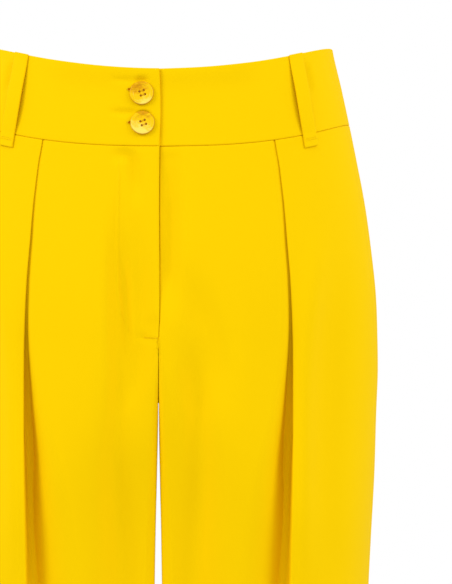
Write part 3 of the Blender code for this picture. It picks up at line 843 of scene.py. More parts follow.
@dataclass(frozen=True)
class Horn:
    """Polished horn-like resin: cloudy yellow with pale streaks, with painted shade and a painted
    highlight on each button.
    """

    name: str = "yellow_horn"
    # Pale top of the ramp: real streaks where the noise reaches it, and a painted highlight towards each
    # button's foot.
    cream_highlight: tuple[float, ...] = (0.93, 0.69, 0.11, 1.0)
    yellow: tuple[float, ...] = (0.87, 0.53, 0.003, 1.0)
    # Deep orange end of the ramp: real clouds where the noise reaches it, and painted shade round a spot
    # near each button's top, where the cloth overhangs it.
    amber_shade: tuple[float, ...] = (0.66, 0.3, 0.002, 1.0)
    # Painted shadow: a deep rim colour where the button meets the cloth, fullest to the lower right.
    edge: tuple[float, ...] = (0.5, 0.23, 0.002, 1.0)
    cloud_scale: float = 210.0
    vein_scale: float = 620.0
    # Centres of the painted shade and the painted highlight on each button's own map.
    shade_at: Point = (0.0, 0.0, 0.0)
    highlight_at: Point = (0.0, -1.05, 0.0)

    def material(self) -> bpy.types.Material:
        """Builds the resin.

        Returns:
            The material.
        """
        tree = Shader(self.name)
        place = tree.place()
        sway = tree.node("ShaderNodeMapping", {}, {"Vector": place, "Scale": (1.0, 1.0, 2.2)})
        clouds = tree.noise(sway.outputs[0], self.cloud_scale, 4.0, 0.6)
        veins = tree.noise(sway.outputs[0], self.vein_scale, 3.0, 0.55)
        face = tree.node("ShaderNodeUVMap", {"uv_map": "clouds"}, {}).outputs[0]
        # Distances to these centres: painted shade grows near the first and a painted highlight near the
        # second, mixed with the real clouds and veins.
        from_shade, from_highlight = (
            Val(tree, tree.node("ShaderNodeVectorMath", {"operation": "DISTANCE"}, {0: face, 1: at})
                .outputs["Value"])
            for at in (self.shade_at, self.highlight_at)
        )
        mixed = from_shade * 0.42 - from_highlight * 0.26 + 0.38 + (clouds - 0.5) * 0.7 + (veins - 0.5) * 0.3
        stops = [
            (0.2, self.amber_shade), (0.38, self.yellow), (0.62, self.yellow), (0.84, self.cream_highlight)
        ]
        ramp = tree.node("ShaderNodeValToRGB", {"stops": stops}, {0: mixed.clamped()})
        # The outline attribute lays the painted rim shadow over the ramp.
        outline = tree.node("ShaderNodeAttribute", {"attribute_name": "outline"}, {}).outputs["Fac"]
        colour = tree.blend(outline, ramp.outputs[0], self.edge)
        return tree.finish(
            {
                "Base Color": colour,
                "Roughness": veins * 0.12 + 0.3,
                "Normal": tree.bump(clouds, 0.12, 0.0002),
                "Specular IOR Level": 0.25,
                "Specular Tint": (1.0, 0.85, 0.15, 1.0),
                "Coat Weight": 0.08,
                "Coat Roughness": 0.15,
            }
        )


@dataclass(frozen=True)
class Thread:
    """Sewing thread with a fine twist."""

    name: str
    colour: tuple[float, ...]
    twist: float = 0.00035
    shade: float = 0.72

    def material(self) -> bpy.types.Material:
        """Builds the thread.

        Returns:
            The material.
        """
        tree = Shader(self.name)
        parts = tree.node("ShaderNodeSeparateXYZ", {}, {0: tree.place()})
        x, z = Val(tree, parts.outputs[0]), Val(tree, parts.outputs[2])
        twist = ((x + z) * (2 * math.pi / self.twist)).sine() * 0.5 + 0.5
        dark = tuple(self.shade * c for c in self.colour[:3]) + (1.0,)
        colour = tree.blend(twist, dark, self.colour)
        return tree.finish(
            {
                "Base Color": colour,
                "Roughness": twist * 0.1 + 0.45,
                "Normal": tree.bump(twist, 0.3, 0.00005),
                "Specular IOR Level": 0.08,
                "Sheen Weight": 0.05,
            }
        )


@dataclass(frozen=True)
class SlitShade:
    """Painted shade: a deep red-brown sheet that stands for the shadow inside a buttonhole."""

    name: str = "buttonhole_inside"
    deep: tuple[float, ...] = (0.46, 0.11, 0.001, 1.0)
    light: tuple[float, ...] = (0.62, 0.19, 0.001, 1.0)
    fuzz_scale: float = 1500.0

    def material(self) -> bpy.types.Material:
        """Builds the dark cloth.

        Returns:
            The material.
        """
        tree = Shader(self.name)
        fuzz = tree.noise(tree.place(), self.fuzz_scale)
        colour = tree.blend(fuzz, self.deep, self.light)
        plain = {"Roughness": fuzz * 0.1 + 0.85, "Specular IOR Level": 0.0}
        return tree.finish({"Base Color": colour, **plain})


@dataclass(frozen=True)
class Finishes:
    """The materials of the object."""

    suiting: bpy.types.Material
    horn: bpy.types.Material
    thread: bpy.types.Material
    tack: bpy.types.Material
    shank: bpy.types.Material
    # Painted shade inside the buttonholes.
    slit_shade: bpy.types.Material

    @classmethod
    def made(cls) -> "Finishes":
        """Builds every material once.

        Returns:
            The finishes.
        """
        return cls(
            Suiting().material(),
            Horn().material(),
            Thread("seam_thread", (0.9, 0.6, 0.001, 1.0)).material(),
            Thread("button_thread", (0.84, 0.47, 0.004, 1.0)).material(),
            # Painted shade: the thread inside the holes is coloured far deeper than the thread over
            # them, for the holes' shadow.
            Thread("shank_thread", (0.34, 0.085, 0.002, 1.0)).material(),
            SlitShade().material(),
        )


def linked(name: str, data: bpy.types.ID) -> bpy.types.Object:
    """Adds an object to the scene.

    Args:
        name: Its name.
        data: Its mesh, light or camera.

    Returns:
        The object.
    """
    made = bpy.data.objects.new(name, data)
    bpy.context.scene.collection.objects.link(made)
    return made


def mesh_from(name: str, solid: bmesh.types.BMesh) -> bpy.types.Mesh:
    """Makes a mesh of what was drawn.

    Args:
        name: The mesh's name.
        solid: What was drawn, freed here.

    Returns:
        The mesh.
    """
    mesh = bpy.data.meshes.new(name)
    solid.to_mesh(mesh)
    solid.free()
    return mesh


def applied(rig: bpy.types.Object) -> bpy.types.Mesh:
    """Applies an object's modifiers.

    Args:
        rig: The object, left without its modifiers.

    Returns:
        The result as a plain mesh.
    """
    ready = rig.evaluated_get(bpy.context.evaluated_depsgraph_get())
    mesh = bpy.data.meshes.new_from_object(ready)
    rig.modifiers.clear()
    return mesh


def add_uv(mesh: bpy.types.Mesh, name: str, places: Array) -> None:
    """Gives a mesh a UV map.

    Args:
        mesh: The mesh.
        name: The map's name.
        places: The place of each point of the mesh on the map.
    """
    corners = np.zeros(len(mesh.loops), int)
    mesh.loops.foreach_get("vertex_index", corners)
    mesh.uv_layers.new(name=name).data.foreach_set("uv", places[corners].ravel())


def into_scene(name: str, mesh: bpy.types.Mesh, material: bpy.types.Material) -> bpy.types.Object:
    """Adds a mesh to the scene, smooth but for its sharp edges.

    Args:
        name: The piece's name.
        mesh: Its mesh.
        material: Its finish, unless the mesh has one.

    Returns:
        The piece.
    """
    if not mesh.materials:
        mesh.materials.append(material)
    mesh.shade_smooth()
    mesh.set_sharp_from_angle(angle=SHARP_CLOTH)
    return linked(name, mesh)


def wall(name: str, outer: Array, inner: Array, material: bpy.types.Material) -> bpy.types.Object:
    """Builds a closed wall between two grids, with a UV map in metres.

    Args:
        name: The piece's name.
        outer: The outer points, rows by columns by 3.
        inner: The inner points, of the same shape.
        material: Its finish.

    Returns:
        The piece.
    """
    rows, columns = outer.shape[:2]
    count = rows * columns
    index = np.arange(count).reshape(rows, columns)
    a, b, c, d = index[:-1, :-1], index[1:, :-1], index[1:, 1:], index[:-1, 1:]
    faces = [np.stack([a, b, c, d], -1).reshape(-1, 4)]
    faces.append(np.stack([a, d, c, b], -1).reshape(-1, 4) + count)
    rim = np.concatenate([index[0, :-1], index[:-1, -1], index[-1, :0:-1], index[:0:-1, 0]])
    ahead = np.roll(rim, -1)
    faces.append(np.stack([rim, ahead, ahead + count, rim + count], -1))
    points = np.concatenate([outer.reshape(-1, 3), inner.reshape(-1, 3)])
    steps = np.linalg.norm(np.diff(outer, axis=1), axis=-1)
    u = np.concatenate([np.zeros((rows, 1)), np.cumsum(steps, axis=1)], axis=1)
    flat = np.stack([u, outer[..., 2]], -1).reshape(-1, 2)
    flat = np.concatenate([flat, flat + INNER_WEAVE_OFF])
    mesh = bpy.data.meshes.new(name)
    mesh.from_pydata(points.tolist(), [], np.concatenate(faces).tolist())
    shell = bmesh.new()
    shell.from_mesh(mesh)
    if shell.calc_volume(signed=True) < 0:
        bmesh.ops.reverse_faces(shell, faces=shell.faces)
    shell.to_mesh(mesh)
    shell.free()
    add_uv(mesh, "cloth", flat)
    return into_scene(name, mesh, material)


@dataclass(frozen=True)
class Stitches:
    """Stitches along lines, made by Geometry Nodes."""

    pitch: float
    length: float
    thick: float
    lay: Lay = Lay.ALONG

    def tree(self) -> bpy.types.NodeTree:
        """Builds the node tree: lines to curves, even points, a stitch on each, all made real.

        Returns:
            The tree, with named inputs for the stitches' sizes and their thread.
        """
        tree = bpy.data.node_groups.new("stitches_" + self.lay.name.lower(), "GeometryNodeTree")
        tree.interface.new_socket("Geometry", in_out="OUTPUT", socket_type="NodeSocketGeometry")
        for name, kind in (("Geometry", "Geometry"), ("Pitch", "Float"), ("Length", "Float"),
                           ("Thickness", "Float"), ("Thread", "Material")):
            tree.interface.new_socket(name, in_out="INPUT", socket_type="NodeSocket" + kind)
        kinds = (
            "NodeGroupInput", "GeometryNodeMeshToCurve", "GeometryNodeResampleCurve",
            "GeometryNodeInputTangent", "FunctionNodeAlignRotationToVector",
            "GeometryNodeMeshUVSphere", "ShaderNodeCombineXYZ", "GeometryNodeTransform",
            "GeometryNodeInstanceOnPoints", "GeometryNodeRealizeInstances",
            "GeometryNodeSetMaterial", "NodeGroupOutput",
        )
        given, curve, even, tangent, turn, ball, size, shaped, stitched, real, finish, result = (
            tree.nodes.new(kind) for kind in kinds
        )
        even.mode = "LENGTH"
        turn.axis = self.lay.value
        for name, value in (("Segments", 8), ("Rings", 5), ("Radius", 0.5)):
            ball.inputs[name].default_value = value
        for giver, output, taker, socket in (
            (given, "Geometry", curve, "Mesh"),
            (curve, "Curve", even, "Curve"),
            (given, "Pitch", even, "Length"),
            (tangent, "Tangent", turn, "Vector"),
            (given, "Length", size, "X"),
            (given, "Thickness", size, "Y"),
            (given, "Thickness", size, "Z"),
            (ball, "Mesh", shaped, "Geometry"),
            (size, "Vector", shaped, "Scale"),
            (even, "Curve", stitched, "Points"),
            (shaped, "Geometry", stitched, "Instance"),
            (turn, "Rotation", stitched, "Rotation"),
            (stitched, "Instances", real, "Geometry"),
            (real, "Geometry", finish, "Geometry"),
            (given, "Thread", finish, "Material"),
            (finish, "Geometry", result, "Geometry"),
        ):
            tree.links.new(giver.outputs[output], taker.inputs[socket])
        return tree

    def sewn(
        self, name: str, lines: Sequence[Sequence[Point]], material: bpy.types.Material
    ) -> bpy.types.Object:
        """Sews along lines.

        Args:
            name: The piece's name.
            lines: Each line's points.
            material: The thread's finish.

        Returns:
            The stitches as one plain mesh.
        """
        guide = bpy.data.meshes.new(name + "_lines")
        points, edges = [], []
        for line in lines:
            first = len(points)
            points += [tuple(p) for p in line]
            edges += [(i, i + 1) for i in range(first, len(points) - 1)]
        guide.from_pydata(points, edges, [])
        rig = linked(name + "_lines", guide)
        sewing = rig.modifiers.new("stitches", "NODES")
        sewing.node_group = self.tree()
        values = {
            "Pitch": self.pitch, "Length": self.length, "Thickness": self.thick, "Thread": material
        }
        for item in sewing.node_group.interface.items_tree:
            if item.in_out == "INPUT" and item.name in values:
                sewing[item.identifier] = values[item.name]
        mesh = applied(rig)
        bpy.data.objects.remove(rig)
        return into_scene(name, mesh, material)


@dataclass(frozen=True)
class Pleat:
    """The front pleat: the outer part ends in a lip, and the inner part runs in under it."""

    share: float = 0.585
    pull: float = 0.38
    pressed: float = 0.84
    foot_short: float = -1.5
    least: float = 0.00012
    dive_steps: int = 16
    fold_steps: int = 9
    lip_steps: int = 9
    sizes: Table = Table(
        ("height", "lip", "lip_radius", "under", "depth", "mouth", "radius", "dive", "hold"),
        (
            (-0.040, 0.0882, 0.00056, 0.0140, 0.00130, 0.0050, 0.00008, 0.0, 1.25),
            (-0.055, 0.0904, 0.00056, 0.0138, 0.00130, 0.0050, 0.00008, 0.0, 1.25),
            (-0.067, 0.0926, 0.00058, 0.0132, 0.00136, 0.0052, 0.00009, 0.0, 1.25),
            (-0.082, 0.0947, 0.00062, 0.0127, 0.00150, 0.0055, 0.00012, 0.0, 1.25),
            (-0.100, 0.0973, 0.00068, 0.0120, 0.00180, 0.0060, 0.00018, 0.0, 1.25),
            (-0.130, 0.1006, 0.00078, 0.0100, 0.00250, 0.0070, 0.00034, 4.0, 1.25),
            (-0.160, 0.1036, 0.00086, 0.0080, 0.00300, 0.0090, 0.00060, 9.0, 1.25),
            (-0.200, 0.1056, 0.00092, 0.0060, 0.0047, 0.0115, 0.00110, 17.0, 1.22),
            (-0.250, 0.1057, 0.00095, 0.0035, 0.0118, 0.0185, 0.00190, 26.0, 1.12),
            (-0.310, 0.1050, 0.00095, 0.0010, 0.0215, 0.0320, 0.00300, 34.0, 0.95),
            (-0.360, 0.1041, 0.00095, -0.0030, 0.0216, 0.0400, 0.00450, 34.0, 0.88),
            (-0.400, 0.1034, 0.00095, -0.0055, 0.0200, 0.0440, 0.00650, 34.0, 0.86),
            (-0.550, 0.1000, 0.00095, -0.0080, 0.0190, 0.0490, 0.00860, 32.0, 0.90),
            (-0.800, 0.0990, 0.00095, -0.0090, 0.0160, 0.0500, 0.00880, 28.0, 0.95),
            (-1.030, 0.1010, 0.00095, -0.0090, 0.0140, 0.0520, 0.00840, 25.0, 1.00),
        ),
    )

    def read(self, column: str, height: float) -> float:
        """One of the pleat's sizes at a height."""
        return self.sizes.read(column, height)

    def round_points(
        self, centre: Array, radius: float, first: float, last: float, count: int, side: float
    ) -> list[tuple[float, ...]]:
        """Goes round a fold in even steps.

        Args:
            centre: Its centre, as (along, lift).
            radius: Its radius.
            first: The heading it starts with.
            last: The heading it ends with.
            count: How many points it gives.
            side: 1 where the way out points to the centre, -1 where it points away.

        Returns:
            Each point's along, lift, out along and out lift.
        """
        made = []
        for angle in np.linspace(first, last, count):
            out = np.array([-math.sin(angle), math.cos(angle)])
            at = centre - side * radius * out
            made.append((at[0], at[1], out[0], out[1]))
        return made

    def profile(self, height: float) -> Array:
        """Draws the pleat's cross-section, from its mouth in under the lip and out over it.

        Args:
            height: The height.

        Returns:
            Rows of along from the lip, lift, out along and out lift.
        """
        columns = ("under", "depth", "mouth", "radius", "dive", "lip_radius", "hold")
        under, depth, mouth, radius, dive, lip_radius, hold = (
            self.read(name, height) for name in columns
        )
        first = -math.radians(dive)
        heading = np.array([math.cos(first), math.sin(first)])
        fold = np.array([under, radius - depth])
        lip = np.array([0.0, -lip_radius])
        start = fold - radius * np.array([-heading[1], heading[0]])
        foot = np.array([min(start[0], self.foot_short * lip_radius), start[1]])
        if foot[0] == start[0]:
            foot = start - self.least * heading
        begin = np.array([-mouth, 0.0])
        reach = (foot[0] - begin[0]) / 2
        points = (begin, begin + [hold * reach, 0.0], foot - self.pull * reach * heading, foot)
        made = []
        for t in np.linspace(0, 1, self.dive_steps + 1):
            parts = ((1 - t) ** 3, 3 * t * (1 - t) ** 2, 3 * t * t * (1 - t), t**3)
            at = sum(part * point for part, point in zip(parts, points))
            pull = ((1 - t) ** 2, 2 * t * (1 - t), t * t)
            way = sum(part * (b - a) for part, a, b in zip(pull, points, points[1:]))
            way = way / np.hypot(*way)
            made.append((at[0], at[1], -way[1], way[0]))
        apart = lip - fold
        turn = math.asin(min((radius + lip_radius) / np.hypot(*apart), 1.0))
        back = math.atan2(apart[1], apart[0]) % (2 * math.pi) + turn
        made += self.round_points(fold, radius, first, back, self.fold_steps, 1)
        made += self.round_points(lip, lip_radius, back, 0.0, self.lip_steps, -1)
        return np.array(made)


@dataclass(frozen=True)
class Drape:
    """A soft fold of a hanging leg, from its start to the hem. Place and width are shares."""

    side: Side
    where: float
    width: float
    lift: float
    starts: float


@dataclass
class Legs:
    """The fronts and backs of both legs."""

    form: Form
    finishes: Finishes
    pleat: Pleat = Pleat()
    lap: float = 0.0004
    wave: float = 0.0002
    wave_length: float = 0.17
    wave_starts: float = 0.008
    lap_fades: float = 0.02
    lip_falls: float = 0.0019
    lip_fall_width: float = 0.01
    lip_fall_from: float = -0.14
    lip_fall_over: float = 0.08
    facing: float = 0.029
    facing_edge: float = 0.003
    facing_cloth: float = 0.0009
    edge_stands: float = 0.0002
    stand_width: float = 0.013
    left_sinks: float = 0.0028
    left_roll: float = 0.35
    sink_width: float = 0.02
    sink_narrows: float = 0.06
    sink_foot: tuple[float, float] = (0.35, 0.4)
    sink_power: float = 1.6
    foot_fades: float = 0.012
    tuck_sinks: float = 0.0004
    seam_roll: tuple[float, float] = (0.0011, 0.0008)
    top_roll: tuple[float, float] = (0.001, 0.0013)
    fly_roll: tuple[float, float] = (0.003, 0.001)
    corner_margin: float = 0.004
    wall_steps: int = 10
    corner_steps: int = 10
    inner_steps: int = 96
    outer_steps: int = 42
    close_columns: tuple[float, float, float] = (0.022, 0.038, 0.36)
    least_step: float = 0.001
    back_steps: int = 96
    rows: dict[Side, int] = field(default_factory=lambda: {FRONT: 64, BACK: 48})
    row_gap: float = 0.0005
    crotch_starts: float = 0.012
    crotch_rows: int = 22
    thigh_rows: int = 34
    shin_rows: int = 62
    hem_rows: int = 7
    hem_flat: float = 0.0014
    hem_turn: float = 0.97
    thigh_ends: float = -0.39
    tucked: tuple[float, ...] = (0.006, 0.0008)
    hem_roll: tuple[float, ...] = (0.0009, 0.0005, 0.0002, 0.00004)
    drapes: tuple[Drape, ...] = (
        Drape(FRONT, 0.17, 0.060, -0.0030, -0.40),
        Drape(FRONT, 0.38, 0.050, 0.0025, -0.45),
        Drape(FRONT, 0.74, 0.055, 0.0030, -0.42),
        Drape(FRONT, 0.87, 0.045, -0.0040, -0.50),
        Drape(BACK, 0.15, 0.060, -0.0030, -0.45),
        Drape(BACK, 0.37, 0.060, 0.0050, -0.36),
        Drape(BACK, 0.53, 0.055, -0.0055, -0.40),
        Drape(BACK, 0.68, 0.050, 0.0040, -0.45),
        Drape(BACK, 0.84, 0.050, -0.0045, -0.50),
    )

    def heights(self, side: Side) -> list[float]:
        """Spaces a piece's rows: tucked into the band, rolled, down to the hem's rolled edge.

        Args:
            side: The front or the back.

        Returns:
            The rows' heights, from the top.
        """
        form, rise = self.form, self.form.rise(side)
        width, rows = self.seam_roll[0], self.rows
        roll = [form.band_seam - width * share for share in ROLL]
        above = np.linspace(form.band_seam - width, rise + self.row_gap, rows[side])
        turn = np.linspace(self.crotch_starts, math.pi / 2, self.crotch_rows)
        crotch = rise - (rise - form.crotch) * np.sin(turn)
        thigh = np.linspace(form.crotch, self.thigh_ends, self.thigh_rows)[1:]
        turned_up = form.hem + form.hem_turn_up
        shin = np.linspace(self.thigh_ends, turned_up, self.shin_rows)[1:]
        above_hem = np.linspace(turned_up - self.row_gap, form.hem + self.hem_flat, self.hem_rows)
        tuck = [form.band_seam + over for over in self.tucked]
        hem = [form.hem + over for over in self.hem_roll]
        return [*tuck, *roll, *above, *crotch, *thigh, *shin, *above_hem, *hem]

    def edge(self, side: Side, height: float, right: bool) -> float:
        """Finds a piece's middle edge.

        Args:
            side: The front or the back.
            height: The height it is read at.
            right: Whether the piece is the wearer's right.

        Returns:
            Where the edge lies along the outline.
        """
        form = self.form
        if side is BACK:
            return form.half_gap if height >= form.seat_start else 0.0
        if height <= form.fly_end:
            return 0.0
        down = form.band_seam - self.wave_starts - height
        swing = math.sin(2 * math.pi * down / self.wave_length)
        fade = float(smoothstep((height - form.fly_end) / self.lap_fades))
        lap = (self.lap - self.wave * swing) * fade
        return -(lap + form.half_gap) if right else lap + 3 * form.half_gap

    def stations(self, outline: Outline, edge: float) -> Array:
        """Spaces the columns of the edge's roll, the inner wall and the corner.

        Args:
            outline: The outline at this height.
            edge: Where the piece's middle edge is.

        Returns:
            Their places along the outline.
        """
        width = self.seam_roll[0]
        roll = [edge + width * share for share in ROLL]
        foot = 0.0 if outline.joined else float(outline.arc[1]) - outline.start
        foot = max(foot, edge + width + self.wall_steps * 0.0001)
        last = outline.along_at(outline.inner + outline.corner + self.corner_margin)
        last = max(last, foot + self.corner_margin)
        up_wall = np.linspace(edge + width, foot, self.wall_steps + 1)
        return np.array([*roll, *up_wall, *np.linspace(foot, last, self.corner_steps + 1)[1:]])

    def ending(self, first: float, length: float, steps: int) -> Array:
        """Spaces the columns up to the side seam's rolled edge.

        Args:
            first: The place that they start after.
            length: The outline's length.
            steps: How many even steps there are before the roll.

        Returns:
            Their places along the outline.
        """
        last = length - self.form.half_gap
        width = self.seam_roll[0]
        even = np.linspace(first, last - width, steps + 1)[1:]
        return np.array([*even, *(last - width * share for share in ROLL[::-1])])

    def finished(self, cut: Cut, side: Side, height: float, right: bool, edge: float) -> Cut:
        """Rolls a cross-section's edges and adds its drape, the fly's step, the facing and the hem.

        Args:
            cut: The plain cross-section.
            side: The side of the form.
            height: Its height.
            right: Whether it is the wearer's right.
            edge: Where its middle edge is.

        Returns:
            The same cross-section, changed.
        """
        form = self.form
        length = form.outline(side, height).length
        away = cut.along - edge
        fly = side is FRONT and height > form.fly_end
        lip_roll = self.fly_roll if fly and right else self.seam_roll
        share = self.left_roll if fly and not right else 1.0
        first = (np.arange(len(cut.along)) < len(ROLL) + 2) | (fly and right)
        cut.lift += np.where(first, share * rolled(away, *lip_roll), 0.0)
        cut.lift += rolled(length - form.half_gap - cut.along, *self.seam_roll)
        seam = form.band_seam - height
        tucked = -self.top_roll[1] - self.tuck_sinks
        cut.lift += float(rolled(seam, *self.top_roll)) if seam >= 0 else tucked
        for drape in self.drapes:
            if drape.side is side and height < drape.starts:
                grown = smoothstep((drape.starts - height) / (drape.starts - form.hem))
                off = (cut.along / length - drape.where) / drape.width
                cut.lift += drape.lift * grown * np.exp(-off * off)
        if fly:
            fade = smoothstep((height - form.fly_end) / self.foot_fades)
            grown = smoothstep((height - form.fly_end - self.foot_fades) / self.sink_narrows)
            if right:
                cut.lift += self.edge_stands * fade * (1 - smoothstep(away / self.stand_width))
                layered = 1 - smoothstep((cut.along - self.facing) / self.facing_edge)
                cut.thick += self.facing_cloth * fade * layered * (seam > 0)
            else:
                width, deep = (least + (1 - least) * grown for least in self.sink_foot)
                near = 1 - np.clip(away / (self.sink_width * width), 0, 1)
                cut.lift -= self.left_sinks * fade * deep * near**self.sink_power
        if height <= form.hem + form.hem_turn_up - self.row_gap / 2:
            cut.thick += form.cloth
            turn = float(rolled(height - form.hem, form.cloth, form.cloth * self.hem_turn))
            cut.lift += turn
            cut.thick += 2 * turn
        return cut

    def front_cut(self, height: float, right: bool) -> Cut:
        """Works out a front's cross-section, from its middle edge, through the pleat, to its side.

        Args:
            height: The height.
            right: Whether it is the wearer's right.

        Returns:
            The cross-section.
        """
        form, outline = self.form, self.form.outline(FRONT, height)
        level = height - float(form.dip(FRONT, self.pleat.share, height))
        lip = outline.along_at(self.pleat.read("lip", level))
        edge = self.edge(FRONT, height, right)
        start = self.stations(outline, edge)
        mouth = lip - self.pleat.read("mouth", level)
        near, far = (outline.along_at(x) for x in self.close_columns[:2])
        reach = far - near
        near = max(near, start[-1] + self.least_step)
        far = max(far, near + self.least_step)
        share = self.close_columns[2] * (far - near) / reach
        even = np.linspace(0, 1, self.inner_steps + 1)
        low = (near - start[-1]) / (mouth - start[-1] - far + near) * (1 - share)
        inner = np.interp(even, [0, low, low + share, 1], [start[-1], near, far, mouth])
        fold = self.pleat.profile(level)
        end = self.ending(lip, outline.length, self.outer_steps)
        flat = Cut.flat(np.concatenate([start, inner[1:-1], lip + fold[:, 0], end]), form.cloth)
        before = len(start) + len(inner) - 2
        here = slice(before, before + len(fold))
        fall = smoothstep((self.lip_fall_from - level) / self.lip_fall_over)
        near_lip = 1 - np.clip((flat.along - lip) / self.lip_fall_width, 0, 1)
        near_lip[: here.start] = 0.0
        near_lip[here] = smoothstep(np.linspace(0, 2, len(fold)))
        flat.lift[here] = fold[:, 1]
        flat.lift -= fall * self.lip_falls * near_lip**2
        flat.out_along[here] = fold[:, 2]
        flat.out_lift[here] = fold[:, 3]
        flat.thick[here] = min(form.cloth, self.pleat.pressed * self.pleat.read("lip_radius", level))
        return self.finished(flat, FRONT, height, right, edge)

    def back_cut(self, height: float, right: bool) -> Cut:
        """Works out a back's cross-section, from the seat seam or inseam to the side seam.

        Args:
            height: The height.
            right: Whether it is the wearer's right.

        Returns:
            The cross-section.
        """
        outline = self.form.outline(BACK, height)
        edge = self.edge(BACK, height, right)
        start = self.stations(outline, edge)
        end = self.ending(start[-1], outline.length, self.back_steps)
        flat = Cut.flat(np.concatenate([start, end]), self.form.cloth)
        return self.finished(flat, BACK, height, right, edge)

    def closed(self, grid: Array, side: Side, heights: Sequence[float], right: bool) -> None:
        """Brings a wall's edges together with its neighbours', so that no seam shows light.

        Args:
            grid: One face of the wall, as rows by columns by 3, changed in place.
            side: The front or the back.
            heights: The rows' heights.
            right: Whether the piece is the wearer's right.
        """
        form = self.form
        turn = -1.0 if right else 1.0
        grid[:, -1, 1] = -side.value * SEAM_CROSS
        for row, height in enumerate(heights):
            if height < form.crotch + 1e-6:
                grid[row, 0, 1] = -side.value * SEAM_CROSS
            elif side is BACK or height <= form.fly_end:
                grid[row, 0, 0] = -turn * SEAM_CROSS

    def piece(self, name: str, side: Side, right: bool, cut_at: Callable) -> bpy.types.Object:
        """Builds one of the four pieces.

        Args:
            name: Its name.
            side: The front or the back.
            right: Whether it is the wearer's right.
            cut_at: Gives its cross-section at a height.

        Returns:
            The piece.
        """
        heights = self.heights(side)
        cuts = [cut_at(height, right) for height in heights]
        outer, inner = self.form.spread(side, heights, cuts, right)
        for grid in (outer, inner):
            self.closed(grid, side, heights, right)
        return wall(name, outer, inner, self.finishes.suiting)

    def build(self) -> dict[str, bpy.types.Object]:
        """Builds the four pieces.

        Returns:
            Each piece by the node it stands for.
        """
        made = {}
        for word, side, cut_at in (("front", FRONT, self.front_cut), ("back", BACK, self.back_cut)):
            for hand, right in (("left", False), ("right", True)):
                node = f"{word}_{hand}"
                made[node] = self.piece("cloth_" + node, side, right, cut_at)
        return made


